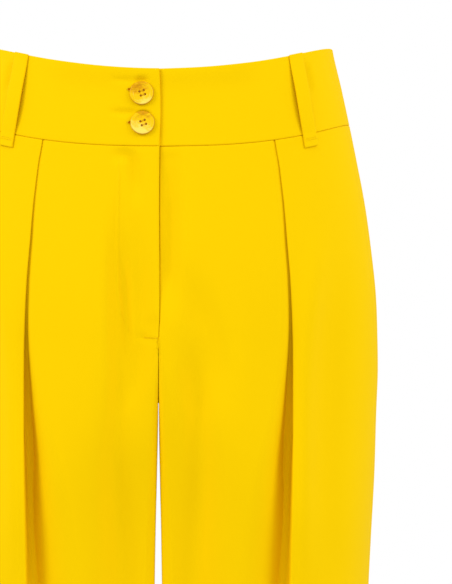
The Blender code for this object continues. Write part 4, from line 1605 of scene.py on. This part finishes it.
@dataclass
class Waistband:
    """The waistband's right end, left end and back, and the strip behind the fly."""

    form: Form
    finishes: Finishes
    lap: float = 0.0001
    underlap: float = 0.033
    into_left: float = 0.02
    sink_width: float = 0.018
    layer_gap: float = 0.0004
    strip_lift: float = -0.0038
    strip_tucked: float = 0.004
    strip_ends: float = 0.006
    strip_grid: tuple[int, int] = (60, 30)
    seam_roll: tuple[float, float] = (0.001, 0.0013)
    side_roll: tuple[float, float] = (0.001, 0.0006)
    fold_roll: float = 0.0008
    end_roll: float = 0.00118
    end_bows: float = 0.0011
    steps: int = 150
    under_steps: int = 24
    back_steps: int = 220
    rows: int = 40

    def heights(self) -> list[float]:
        """Spaces the band's rows, from its folded top to its rolled seam.

        Returns:
            Their heights.
        """
        top, seam = self.form.band_top, self.form.band_seam
        fold = [top - self.fold_roll * share for share in ROLL]
        roll = [seam + self.seam_roll[0] * share for share in ROLL[::-1]]
        even = np.linspace(top - self.fold_roll, seam + self.seam_roll[0], self.rows)
        return [*fold, *even, *roll]

    def sink(self, along: Array) -> Array:
        """How the left end goes in under the right one."""
        deep = self.form.band_cloth + self.layer_gap
        return -deep * (1 - np.clip((along - self.lap) / self.sink_width, 0, 1)) ** 2

    def cut(self, along: Array, height: float, lift: Array, folded: float | None) -> Cut:
        """Draws the band's cross-section.

        Args:
            along: Its columns.
            height: The height.
            lift: How far each column stands off.
            folded: Where its folded end is, if it shows one.

        Returns:
            The cross-section.
        """
        form = self.form
        made = Cut.flat(along, form.band_cloth)
        top = float(rolled(form.band_top - height, self.fold_roll, self.fold_roll))
        made.lift += lift + top + float(rolled(height - form.band_seam, *self.seam_roll))
        made.thick += 2 * top
        if folded is not None:
            turn = rolled(along - folded, self.end_roll, self.end_roll)
            turn = np.maximum(turn, -(form.band_cloth + 2 * top) / 2 * 0.98)
            made.lift += turn
            made.thick += 2 * turn
        return made

    def ends(self, last: float) -> list[float]:
        """Columns that roll into a side seam."""
        return [last - self.seam_roll[0] * share for share in ROLL[::-1]]

    def right_cut(self, height: float) -> Cut:
        """Works out the right end, from its folded end, which laps over, to the side seam.

        Args:
            height: The height.

        Returns:
            The cross-section.
        """
        down = (self.form.band_top - height) / (self.form.band_top - self.form.band_seam)
        first = -(self.lap + self.end_bows * math.sin(math.pi * down) + self.form.half_gap)
        last = self.form.outline(FRONT, height).length - self.form.half_gap
        fold = [first + self.end_roll * share for share in ROLL]
        rest = np.linspace(first + self.end_roll, last - self.seam_roll[0], self.steps)
        along = np.array([*fold, *rest, *self.ends(last)])
        return self.cut(along, height, rolled(last - along, *self.side_roll), first)

    def left_cut(self, height: float) -> Cut:
        """Works out the left end, from its end under the right one to the side seam.

        Args:
            height: The height.

        Returns:
            The cross-section.
        """
        last = self.form.outline(FRONT, height).length - self.form.half_gap
        count = self.steps + self.under_steps
        rest = np.linspace(-self.underlap, last - self.seam_roll[0], count)
        along = np.array([*rest, *self.ends(last)])
        lift = self.sink(along) + rolled(last - along, *self.side_roll)
        return self.cut(along, height, lift, None)

    def back_cut(self, height: float) -> Cut:
        """Works out the back, from side seam to side seam.

        Args:
            height: The height.

        Returns:
            The cross-section.
        """
        last = self.form.outline(BACK, height).length - self.form.half_gap
        half = last - self.seam_roll[0]
        ends = self.ends(last)
        even = np.linspace(-half, half, self.back_steps)
        along = np.array([*(-e for e in ends[::-1]), *even, *ends])
        return self.cut(along, height, rolled(last - np.abs(along), *self.side_roll), None)

    def strip(self) -> bpy.types.Object:
        """Builds the strip behind the fly.

        Returns:
            The strip.
        """
        form = self.form
        starts, ends = form.band_seam + self.strip_tucked, form.fly_end + self.strip_ends
        heights = np.linspace(starts, ends, self.strip_grid[0])
        along = np.linspace(-self.underlap, self.into_left, self.strip_grid[1])
        cuts = [Cut.flat(along, form.cloth) for _ in heights]
        for cut in cuts:
            cut.lift += self.strip_lift
        return wall("cloth_fly_underlap", *form.spread(FRONT, heights, cuts), self.finishes.suiting)

    def build(self) -> dict[str, bpy.types.Object]:
        """Builds the band and the strip.

        Returns:
            Each piece by the node it stands for.
        """
        kinds = (
            ("waistband_right", FRONT, self.right_cut, True),
            ("waistband_left", FRONT, self.left_cut, False),
            ("waistband_back", BACK, self.back_cut, False),
        )
        made = {}
        for node, side, cut_at, mirrored in kinds:
            heights = self.heights()
            cuts = [cut_at(height) for height in heights]
            outer, inner = self.form.spread(side, heights, cuts, mirrored)
            for grid in (outer, inner):
                grid[:, -1, 1] = -side.value * SEAM_CROSS
                if side is BACK:
                    grid[:, 0, 1] = -side.value * SEAM_CROSS
            made[node] = wall("cloth_" + node, outer, inner, self.finishes.suiting)
        made["fly_underlap"] = self.strip()
        return made


@dataclass(frozen=True)
class Loop:
    """A belt loop. Its top and its foot sit at a share of the half width."""

    node: str
    side: Side
    mirrored: bool
    top_share: float
    foot_share: float


@dataclass
class BeltLoops:
    """Five belt loops: folded strips that stand off the band in an arch, with a bar tack at each foot.
    """

    form: Form
    finishes: Finishes
    width: float = 0.0126
    cloth: float = 0.0016
    tail: float = 0.011
    clear: float = 0.0003
    arch: float = 0.0025
    arch_starts: float = 0.06
    arch_ends: float = 0.84
    arch_leans: float = 1.3
    arch_fills: float = 0.9
    crown: float = 0.0003
    length: float = 0.072
    edge_roll: tuple[float, float] = (0.0007, 0.0006)
    end_roll: tuple[float, float] = (0.0006, 0.0006)
    tacked_at: tuple[float, float] = (0.905, 0.925)
    tack: Stitches = Stitches(0.00042, 0.0012, 0.00018, Lay.ACROSS)
    tack_reach: float = 0.4
    tack_points: int = 9
    rows: int = 84
    top_rows: tuple[float, ...] = (0, 0.003, 0.01)
    foot_rows: tuple[float, ...] = (0.994, 1.0)
    loops: tuple[Loop, ...] = (
        Loop("belt_loop_front_left", FRONT, False, 0.768, 0.769),
        Loop("belt_loop_front_right", FRONT, True, 0.768, 0.769),
        Loop("belt_loop_back_left", BACK, False, 0.700, 0.680),
        Loop("belt_loop_back_right", BACK, True, 0.700, 0.680),
        Loop("belt_loop_back_centre", BACK, False, 0.0, 0.0),
    )

    HALF = (0.1, 0.25, 0.38, 0.44, 0.472, 0.492, 0.5)  # Columns from the middle to an edge

    def stands(self, q: float) -> float:
        """How far a loop stands off at a share q of its length, from its top."""
        u = min(max((q - self.arch_starts) / (self.arch_ends - self.arch_starts), 0.0), 1.0)
        return self.arch * abs(math.sin(math.pi * u**self.arch_leans)) ** self.arch_fills

    def row(self, loop: Loop, q: float, across: Sequence[float], lifts: Sequence[float]) -> Array:
        """Finds points across a loop.

        Args:
            loop: The loop.
            q: The share of its length, from its top.
            across: Distances from its middle line.
            lifts: How far each point is from the cloth under it.

        Returns:
            The points, as a row by 3.
        """
        form = self.form
        height = form.band_top + q * (form.band_seam - self.tail - form.band_top)
        share = loop.top_share + q * (loop.foot_share - loop.top_share)
        half = form.outline(loop.side, height).half
        level = form.outline(loop.side, height - float(form.dip(loop.side, share, height)))
        start = level.along_at(max(share * half, form.half_gap))
        at, way, out = (part[0] for part in level.frame(np.array([start])))
        if share == 0.0:
            at[0], way, out = 0.0, np.array([1.0, 0.0]), np.array([0.0, loop.side.value])
        turn = -1.0 if loop.mirrored else 1.0
        bow = self.stands(q) * np.array([0.0, loop.side.value])
        made = []
        for place, lift in zip(across, lifts):
            x, y = at + place * way + lift * out + bow
            drop = float(form.dip(loop.side, x / half, height))
            made.append((turn * x, y, height - drop))
        return np.array(made)

    def loop_piece(self, loop: Loop) -> bpy.types.Object:
        """Builds one loop, with rolled edges and a folded foot.

        Args:
            loop: The loop.

        Returns:
            The piece.
        """
        across = np.array([*(-share for share in self.HALF[::-1]), *self.HALF]) * self.width
        away = self.width / 2 - np.abs(across)
        crown = self.crown * (1 - (2 * across / self.width) ** 2)
        outer, inner = [], []
        for q in [*self.top_rows, *np.linspace(0.02, 0.985, self.rows), *self.foot_rows]:
            end = min(q, 1 - q) * self.length
            roll = rolled(away, *self.edge_roll) + float(rolled(end, *self.end_roll))
            roll = np.maximum(roll, -0.48 * self.cloth)
            outer.append(self.row(loop, q, across, self.clear + self.cloth + crown + roll))
            inner.append(self.row(loop, q, across, self.clear + 0 * across + 0.4 * crown - 0.5 * roll))
        name = "cloth_" + loop.node
        return wall(name, np.array(outer), np.array(inner), self.finishes.suiting)

    def tacks(self) -> bpy.types.Object:
        """Sews the bar tack at each loop's foot.

        Returns:
            The stitches.
        """
        lines = []
        across = np.linspace(-self.tack_reach, self.tack_reach, self.tack_points) * self.width
        lift = np.full(len(across), self.clear + self.cloth + self.crown * 0.8)
        for loop in self.loops:
            for q in self.tacked_at:
                lines.append([tuple(p) for p in self.row(loop, q, across, lift)])
        return self.tack.sewn("loop_tacks", lines, self.finishes.thread)

    def build(self) -> dict[str, bpy.types.Object]:
        """Builds the loops, each by the node it stands for."""
        return {loop.node: self.loop_piece(loop) for loop in self.loops}


@dataclass(frozen=True)
class Spot:
    """A button's place, the centre of its painted shade as shares of its radius, and the turns of its
    painted shading and its buttonhole.
    """

    node: str
    from_centre: float
    height: float
    amber_shade: tuple[float, float]
    shading_turn: float
    hole_turn: float


@dataclass
class Buttons:
    """Two four-hole buttons on the right end of the band, with their thread and buttonholes."""

    form: Form
    finishes: Finishes
    diameter: float = 0.019
    thickness: float = 0.002
    rim: float = 0.0024
    corner: float = 0.0013
    widest_at: float = 0.0009
    slope: float = 0.0012
    rim_drop: float = 0.0001
    back_edge: tuple[tuple[float, float], ...] = ((0.0014, 0.0), (0.0004, 0.0003))
    dish: float = 0.0008
    hole: float = 0.0018
    pitch: float = 0.0034
    turn: float = math.radians(20)
    clear: float = 0.0001
    sides: int = 72
    slit_reach: tuple[float, float] = (0.0118, -0.0085)
    holes_off: float = 0.0005
    # Share of the radius from which the rim gets its painted shadow.
    outline: float = 0.93
    shank: tuple[float, float] = (-0.0006, 0.0001)
    well: float = 0.0004
    strand_shift: float = 0.00022
    strand_lift: float = 0.00032
    strand_sinks: float = 0.0013
    strand_over: float = 0.02
    over_holes: Stitches = Stitches(0.00022, 0.0005, 0.0003)
    in_holes: Stitches = Stitches(0.0003, 0.0006, 0.0016)
    hole_edge: Stitches = Stitches(0.00034, 0.0015, 0.00036, Lay.ACROSS)
    hole_half: float = 0.00105
    hole_lift: float = 0.0001
    hole_square: float = 2.4
    slit_ends: tuple[tuple[float, float], ...] = ((-0.0114, 0.0006), (0.0085, 0.0009))
    slit_rises: tuple[float, float] = (-0.0004, 0.0001)
    # Each button's painted shade sits near its top, under the overhanging cloth, and its painted
    # highlight lies towards its foot.
    spots: tuple[Spot, ...] = (
        Spot("button_upper", 0.0129, 0.0116, (-0.25, 0.3), math.radians(25), math.radians(-16)),
        Spot("button_lower", 0.0122, -0.0119, (0.05, 0.8), math.radians(-12), math.radians(-2)),
    )

    def frame(self, from_centre: float, height: float) -> Matrix:
        """Finds the place of a button on the band.

        Args:
            from_centre: How far its middle is from the centre line.
            height: How high it is at the side.

        Returns:
            The middle of its back, with the ways across, up and out.
        """
        reach = self.diameter / 2
        spots = []
        for side, rise in ((0, 0), (-reach, 0), (reach, 0), (0, -reach), (0, reach)):
            cut = Cut.flat([from_centre + side], self.form.band_cloth)
            outer, _ = self.form.spread(FRONT, [height + rise], [cut], True)
            spots.append(Vector(outer[0, 0]))
        across = (spots[1] - spots[2]).normalized()
        out = across.cross(spots[4] - spots[3]).normalized()
        turn = Matrix((across, out.cross(across), out)).transposed().to_4x4()
        return Matrix.Translation(spots[0] + self.clear * out) @ turn

    def profile(self) -> list[tuple[float, float]]:
        """Draws the turned face.

        Returns:
            Its (radius, height), from the middle of its back round to the middle of its front.
        """
        radius, top = self.diameter / 2, self.thickness
        turned, widest, well, drop = self.corner, self.widest_at, radius - self.rim, self.rim_drop
        corner = [
            (radius - turned + turned * math.sin(a), widest + (top - widest) * math.cos(a))
            for a in np.linspace(math.pi / 2, 0, 7)
        ]
        slope = [
            (well - self.slope * t, top - drop - (self.dish - drop) * float(smoothstep(t)))
            for t in np.linspace(0, 1, 7)
        ]
        back = [(radius - inwards, up) for inwards, up in self.back_edge]
        return [(0.0, 0.0), *back, *corner, *slope, (0.0, top - self.dish)]

    def disc(self, name: str) -> bpy.types.Object:
        """Turns a button, without its holes, round +Z.

        Args:
            name: The piece's name.

        Returns:
            The button.
        """
        solid = bmesh.new()
        line = [solid.verts.new((r, 0.0, z)) for r, z in self.profile()]
        edges = [solid.edges.new(pair) for pair in zip(line, line[1:])]
        bmesh.ops.spin(
            solid, geom=line + edges, cent=(0, 0, 0), axis=(0, 0, 1), angle=2 * math.pi,
            steps=self.sides, use_merge=True,
        )
        bmesh.ops.remove_doubles(solid, verts=solid.verts, dist=1e-5)
        bmesh.ops.recalc_face_normals(solid, faces=solid.faces)
        return into_scene(name, mesh_from(name, solid), self.finishes.horn)

    def hole_places(self) -> list[tuple[float, float]]:
        """Finds the middles of the four holes.

        Returns:
            Their places on the button's face.
        """
        reach = self.pitch / math.sqrt(2)
        angles = [self.turn + math.pi / 4 + i * math.pi / 2 for i in range(4)]
        return [(reach * math.cos(a) + self.holes_off, reach * math.sin(a)) for a in angles]

    def painted_shading(self, disc: bpy.types.Object, spot: Spot) -> None:
        """Gives a button its own place for its painted shade and highlight, and a tone for the painted
        shadow on its rim.

        Args:
            disc: The button, still round +Z.
            spot: Its place and pattern.
        """
        mesh = disc.data
        points = np.zeros(len(mesh.vertices) * 3)
        mesh.vertices.foreach_get("co", points)
        flat = points.reshape(-1, 3)[:, :2] / (self.diameter / 2)
        away = np.linalg.norm(flat, axis=1)
        # Painted contact shadow on the rim, fullest to the lower right, away from the stronger light.
        shadow_side = 0.4 + 0.6 * smoothstep((flat @ (0.7, -0.7) / np.maximum(away, 0.01) + 0.6) / 0.9)
        tone = smoothstep((away - self.outline) / 0.05) * shadow_side
        mesh.attributes.new("outline", "FLOAT", "POINT").data.foreach_set("value", tone)
        # The map is centred on the painted shade and turned so that the painted highlight lies towards
        # the foot.
        cos, sin = math.cos(spot.shading_turn), math.sin(spot.shading_turn)
        add_uv(mesh, "clouds", (flat - spot.amber_shade) @ np.array([[cos, -sin], [sin, cos]]))

    def drilled(self, disc: bpy.types.Object) -> None:
        """Cuts the four holes, with a small countersink.

        Args:
            disc: The button, still round +Z.
        """
        pegs = bmesh.new()
        for x, y in self.hole_places():
            for radii, z in (((0.5, 0.5), 0.0), ((0.28, 0.95), self.thickness - self.dish)):
                bmesh.ops.create_cone(
                    pegs, cap_ends=True, segments=20, radius1=self.hole * radii[0],
                    radius2=self.hole * radii[1], depth=8 * self.thickness if z == 0.0 else 0.001,
                    matrix=Matrix.Translation((x, y, z)),
                )
        peg = linked("pegs", mesh_from("pegs", pegs))
        holes = disc.modifiers.new("holes", "BOOLEAN")
        holes.operation, holes.solver, holes.use_self, holes.object = "DIFFERENCE", "EXACT", True, peg
        disc.data = applied(disc)
        bpy.data.objects.remove(peg)
        disc.data.shade_smooth()
        disc.data.set_sharp_from_angle(angle=SHARP_HORN)

    def build(self) -> dict[str, bpy.types.Object]:
        """Builds the buttons.

        Returns:
            Each button by the node it stands for.
        """
        made = {}
        for spot in self.spots:
            disc = self.disc("horn_" + spot.node)
            self.drilled(disc)
            self.painted_shading(disc, spot)
            disc.data.transform(self.frame(spot.from_centre, spot.height))
            made[spot.node] = disc
        return made

    def threads(self) -> tuple[bpy.types.Object, bpy.types.Object]:
        """Sews the buttons on.

        Returns:
            The thread over the holes, in two rows, and the thread down inside them, coloured deep
            red-brown as painted shade of the holes.
        """
        lines, inside = [], []
        top = self.thickness - self.dish
        places = self.hole_places()
        for spot in self.spots:
            here = self.frame(spot.from_centre, spot.height)
            for a, b in ((0, 1), (3, 2)):
                for shift in (-self.strand_shift, self.strand_shift):
                    lines.append(self.strand(here, places[a], places[b], shift, top))
            for x, y in places:
                inside.append([tuple(here @ Vector((x, y, z))) for z in (*self.shank, top - self.well)])
        rows = self.over_holes.sewn("button_threads", lines, self.finishes.tack)
        return rows, self.in_holes.sewn("button_shanks", inside, self.finishes.shank)

    def strand(
        self, here: Matrix, a: tuple[float, float], b: tuple[float, float], shift: float, top: float
    ) -> list[Point]:
        """Lays one strand from hole to hole, sunk at both ends.

        Args:
            here: The button's place.
            a: The middle of the first hole.
            b: The middle of the other.
            shift: How far the strand is to the side.
            top: The height of the face under it.

        Returns:
            The strand's points.
        """
        start, stop = Vector((*a, 0.0)), Vector((*b, 0.0))
        side = (stop - start).normalized().cross(Vector((0, 0, 1))) * shift
        points = []
        for t in np.linspace(-self.strand_over, 1 + self.strand_over, 9):
            flat = start.lerp(stop, float(t)) + side
            rise = top + self.strand_lift - self.strand_sinks * abs(2 * t - 1) ** 8
            points.append(tuple(here @ Vector((flat.x, flat.y, rise))))
        return points

    def buttonholes(self) -> tuple[bpy.types.Object, bpy.types.Object]:
        """Cuts and sews both buttonholes.

        Returns:
            Their sewn edges, and the slits inside them, thin boxes in painted shade.
        """
        lines, slits = [], bmesh.new()
        far, near = self.slit_reach
        middle, reach, lift = (far + near) / 2, (far - near) / 2, self.hole_lift - self.clear
        (start, narrow), (stop, wide) = self.slit_ends
        corners = [(start, -narrow), (stop, -wide), (stop, wide), (start, narrow)]
        for spot in self.spots:
            here = self.frame(spot.from_centre, spot.height) @ Matrix.Rotation(spot.hole_turn, 4, "Z")
            ring = []
            for t in np.linspace(0, 2 * math.pi, 49):
                full = min(1.0, self.hole_square * abs(math.sin(t)))
                y = self.hole_half * math.copysign(full, math.sin(t))
                ring.append(tuple(here @ Vector((-middle - reach * math.cos(t), y, lift))))
            lines.append(ring)
            # A thin box in painted shade fills each buttonhole.
            low, high = (
                [slits.verts.new(here @ Vector((x, y, lift + rise))) for x, y in corners]
                for rise in self.slit_rises
            )
            slits.faces.new(high)
            slits.faces.new(low[::-1])
            for i in range(4):
                j = (i + 1) % 4
                slits.faces.new((low[i], low[j], high[j], high[i]))
        mesh = mesh_from("buttonhole_slits", slits)
        edges = self.hole_edge.sewn("buttonhole_edges", lines, self.finishes.thread)
        return edges, into_scene("buttonhole_slits", mesh, self.finishes.slit_shade)


@dataclass
class Sewing:
    """The stitches that show on the legs: the fly's curved line and its foot."""

    form: Form
    finishes: Finishes
    fly_line: tuple[tuple[float, float], ...] = (
        (-0.0312, -0.058), (-0.0308, -0.09), (-0.0306, -0.14), (-0.0306, -0.18),
        (-0.0296, -0.188), (-0.0268, -0.1955), (-0.0215, -0.2015), (-0.013, -0.205),
        (-0.004, -0.2058), (0.0, -0.2058),
    )
    foot: tuple[tuple[float, float], ...] = ((-0.0115, -0.2052), (-0.001, -0.206))
    line_stitch: Stitches = Stitches(0.0023, 0.0021, 0.00008)
    foot_stitch: Stitches = Stitches(0.0004, 0.0013, 0.00032, Lay.ACROSS)

    def fly(self) -> bpy.types.Object:
        """Sews the curved line that holds the fly's facing.

        Returns:
            The stitches.
        """
        points = []
        line = Crease(FRONT, self.fly_line, 0.001, 0.0).smooth_line()
        for a, b in zip(line, line[1:]):
            for t in np.linspace(0, 1, 8)[:-1]:
                x, z = a + t * (b - a)
                points.append(self.form.spot(FRONT, float(x), float(z), 0.00002))
        return self.line_stitch.sewn("fly_stitching", [points], self.finishes.thread)

    def fly_foot(self) -> bpy.types.Object:
        """Sews the bar tack at the fly's foot.

        Returns:
            The stitches.
        """
        (x0, z0), (x1, z1) = self.foot
        shares = np.linspace(0, 1, 12)
        line = [self.form.spot(FRONT, x0 + t * (x1 - x0), z0 + t * (z1 - z0), 0.0001) for t in shares]
        return self.foot_stitch.sewn("fly_tack", [line], self.finishes.thread)


@dataclass(frozen=True)
class Studio:
    """The camera at the photo's angle, soft light and a pale floor."""

    camera_at: Point = (0.0, -3.0, -0.35)
    aimed_at: Point = (0.054, 0.0, -0.1634)
    lit_at: Point = (0.0, 0.0, -0.3)
    frame_height: int = 584
    pixels_per_unit: float = 3750.0
    sensor: float = 36.0
    floor_at: float = -1.075
    floor_reach: float = 4.0
    floor_scale: float = 3.0
    floor_tones: tuple[tuple[float, ...], ...] = ((0.8, 0.8, 0.79, 1.0), (0.84, 0.84, 0.83, 1.0))
    ambient: float = 0.8
    lights: tuple[tuple[str, Point, float, float], ...] = (
        ("left", (-2.0, -1.15, 1.15), 1.0, 27.0),
        ("right", (2.0, -1.05, 1.0), 1.1, 20.5),
        ("above", (0.2, -1.9, 1.9), 1.4, 5.0),
    )

    def aimed(self, name: str, data: bpy.types.ID, at: Point, to: Point) -> bpy.types.Object:
        """Adds a camera or light, aimed at a point.

        Args:
            name: Its name.
            data: The camera or light.
            at: Where it is.
            to: Where it points.

        Returns:
            The object.
        """
        made = linked(name, data)
        made.location = at
        way = Vector(to) - Vector(at)
        made.rotation_euler = way.to_track_quat("-Z", "Y").to_euler()
        return made

    def camera(self) -> None:
        """Makes the camera."""
        data = bpy.data.cameras.new("camera")
        data.sensor_width = self.sensor
        data.lens = self.pixels_per_unit / self.frame_height * data.sensor_width
        bpy.context.scene.camera = self.aimed("camera", data, self.camera_at, self.aimed_at)

    def light(self, name: str, at: Point, size: float, power: float) -> None:
        """Adds a soft square light aimed at the middle of what shows.

        Args:
            name: Its name.
            at: Where it is.
            size: How wide it is.
            power: Its power.
        """
        data = bpy.data.lights.new(name, "AREA")
        data.size, data.energy = size, power
        self.aimed(name, data, at, self.lit_at)

    def surroundings(self) -> None:
        """Makes the white world and the floor."""
        world = bpy.data.worlds.new("studio")
        bpy.context.scene.world = world
        world.use_nodes = True
        nodes, link = world.node_tree.nodes, world.node_tree.links.new
        nodes.clear()
        seen, lit = nodes.new("ShaderNodeBackground"), nodes.new("ShaderNodeBackground")
        for shade, strength in ((seen, 1.0), (lit, self.ambient)):
            shade.inputs["Color"].default_value = (1, 1, 1, 1)
            shade.inputs["Strength"].default_value = strength
        rays, mix = nodes.new("ShaderNodeLightPath"), nodes.new("ShaderNodeMixShader")
        result = nodes.new("ShaderNodeOutputWorld")
        link(rays.outputs["Is Camera Ray"], mix.inputs[0])
        link(lit.outputs[0], mix.inputs[1])
        link(seen.outputs[0], mix.inputs[2])
        link(mix.outputs[0], result.inputs["Surface"])
        mesh = bpy.data.meshes.new("floor")
        reach, z = self.floor_reach, self.floor_at
        points = [(-reach, -reach, z), (reach, -reach, z), (reach, reach, z), (-reach, reach, z)]
        mesh.from_pydata(points, [], [(0, 1, 2, 3)])
        tree = Shader("floor")
        tone = tree.blend(tree.noise(tree.place(), self.floor_scale), *self.floor_tones)
        finish = tree.finish({"Base Color": tone, "Roughness": 0.9})
        into_scene("floor", mesh, finish)

    def build(self) -> None:
        """Makes the camera, the lights, the world and the floor."""
        self.camera()
        self.surroundings()
        for light in self.lights:
            self.light(*light)
        bpy.context.scene.view_settings.view_transform = "Standard"


@dataclass(frozen=True)
class Sheet:
    """A cloth piece's cut: its flat width and length, its area and what it hangs from."""

    width: float
    length: float
    area: float
    held: str
    rests_on: tuple[str, ...]


SHEETS = {
    "front_left": Sheet(0.400, 1.020, 0.322, "hung", ("waistband_left",)),
    "front_right": Sheet(0.400, 1.020, 0.322, "hung", ("waistband_right",)),
    "back_left": Sheet(0.330, 1.020, 0.305, "hung", ("waistband_back",)),
    "back_right": Sheet(0.330, 1.020, 0.305, "hung", ("waistband_back",)),
    "waistband_right": Sheet(0.200, 0.066, 0.0130, "stretched", ()),
    "waistband_left": Sheet(0.233, 0.066, 0.0152, "stretched", ()),
    "waistband_back": Sheet(0.378, 0.066, 0.0246, "stretched", ()),
    "fly_underlap": Sheet(0.053, 0.172, 0.0081, "hung", ("waistband_left",)),
}


def dress(piece: bpy.types.Object, node: str | None) -> None:
    """Puts a finished piece on the body.

    Args:
        piece: The piece.
        node: The node that it replaces, if it does.
    """
    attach(piece, "root")
    if node:
        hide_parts(node)
    LOG.info("%s: %d faces", piece.name, len(piece.data.polygons))


def main() -> None:
    logging.basicConfig(level=logging.INFO, format="%(message)s")
    Studio().build()
    form, finishes = Form(), Finishes.made()
    loops, buttons, sewing = (kind(form, finishes) for kind in (BeltLoops, Buttons, Sewing))
    cloth = {**Legs(form, finishes).build(), **Waistband(form, finishes).build(), **loops.build()}
    for node, piece in cloth.items():
        dress(piece, node)
    for node, piece in buttons.build().items():
        dress(piece, node)
    holes, slits = buttons.buttonholes()
    extras = {
        "front_right": [sewing.fly(), sewing.fly_foot()],
        "waistband_right": [holes, slits],
        "waistband_left": [*buttons.threads()],
        "waistband_back": [loops.tacks()],
    }
    for pieces in extras.values():
        for piece in pieces:
            dress(piece, None)
    for node, sheet in SHEETS.items():
        [cloth[name].name for name in sheet.rests_on]
        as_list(extras.get(node, []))


if __name__ == "__main__":
    main()
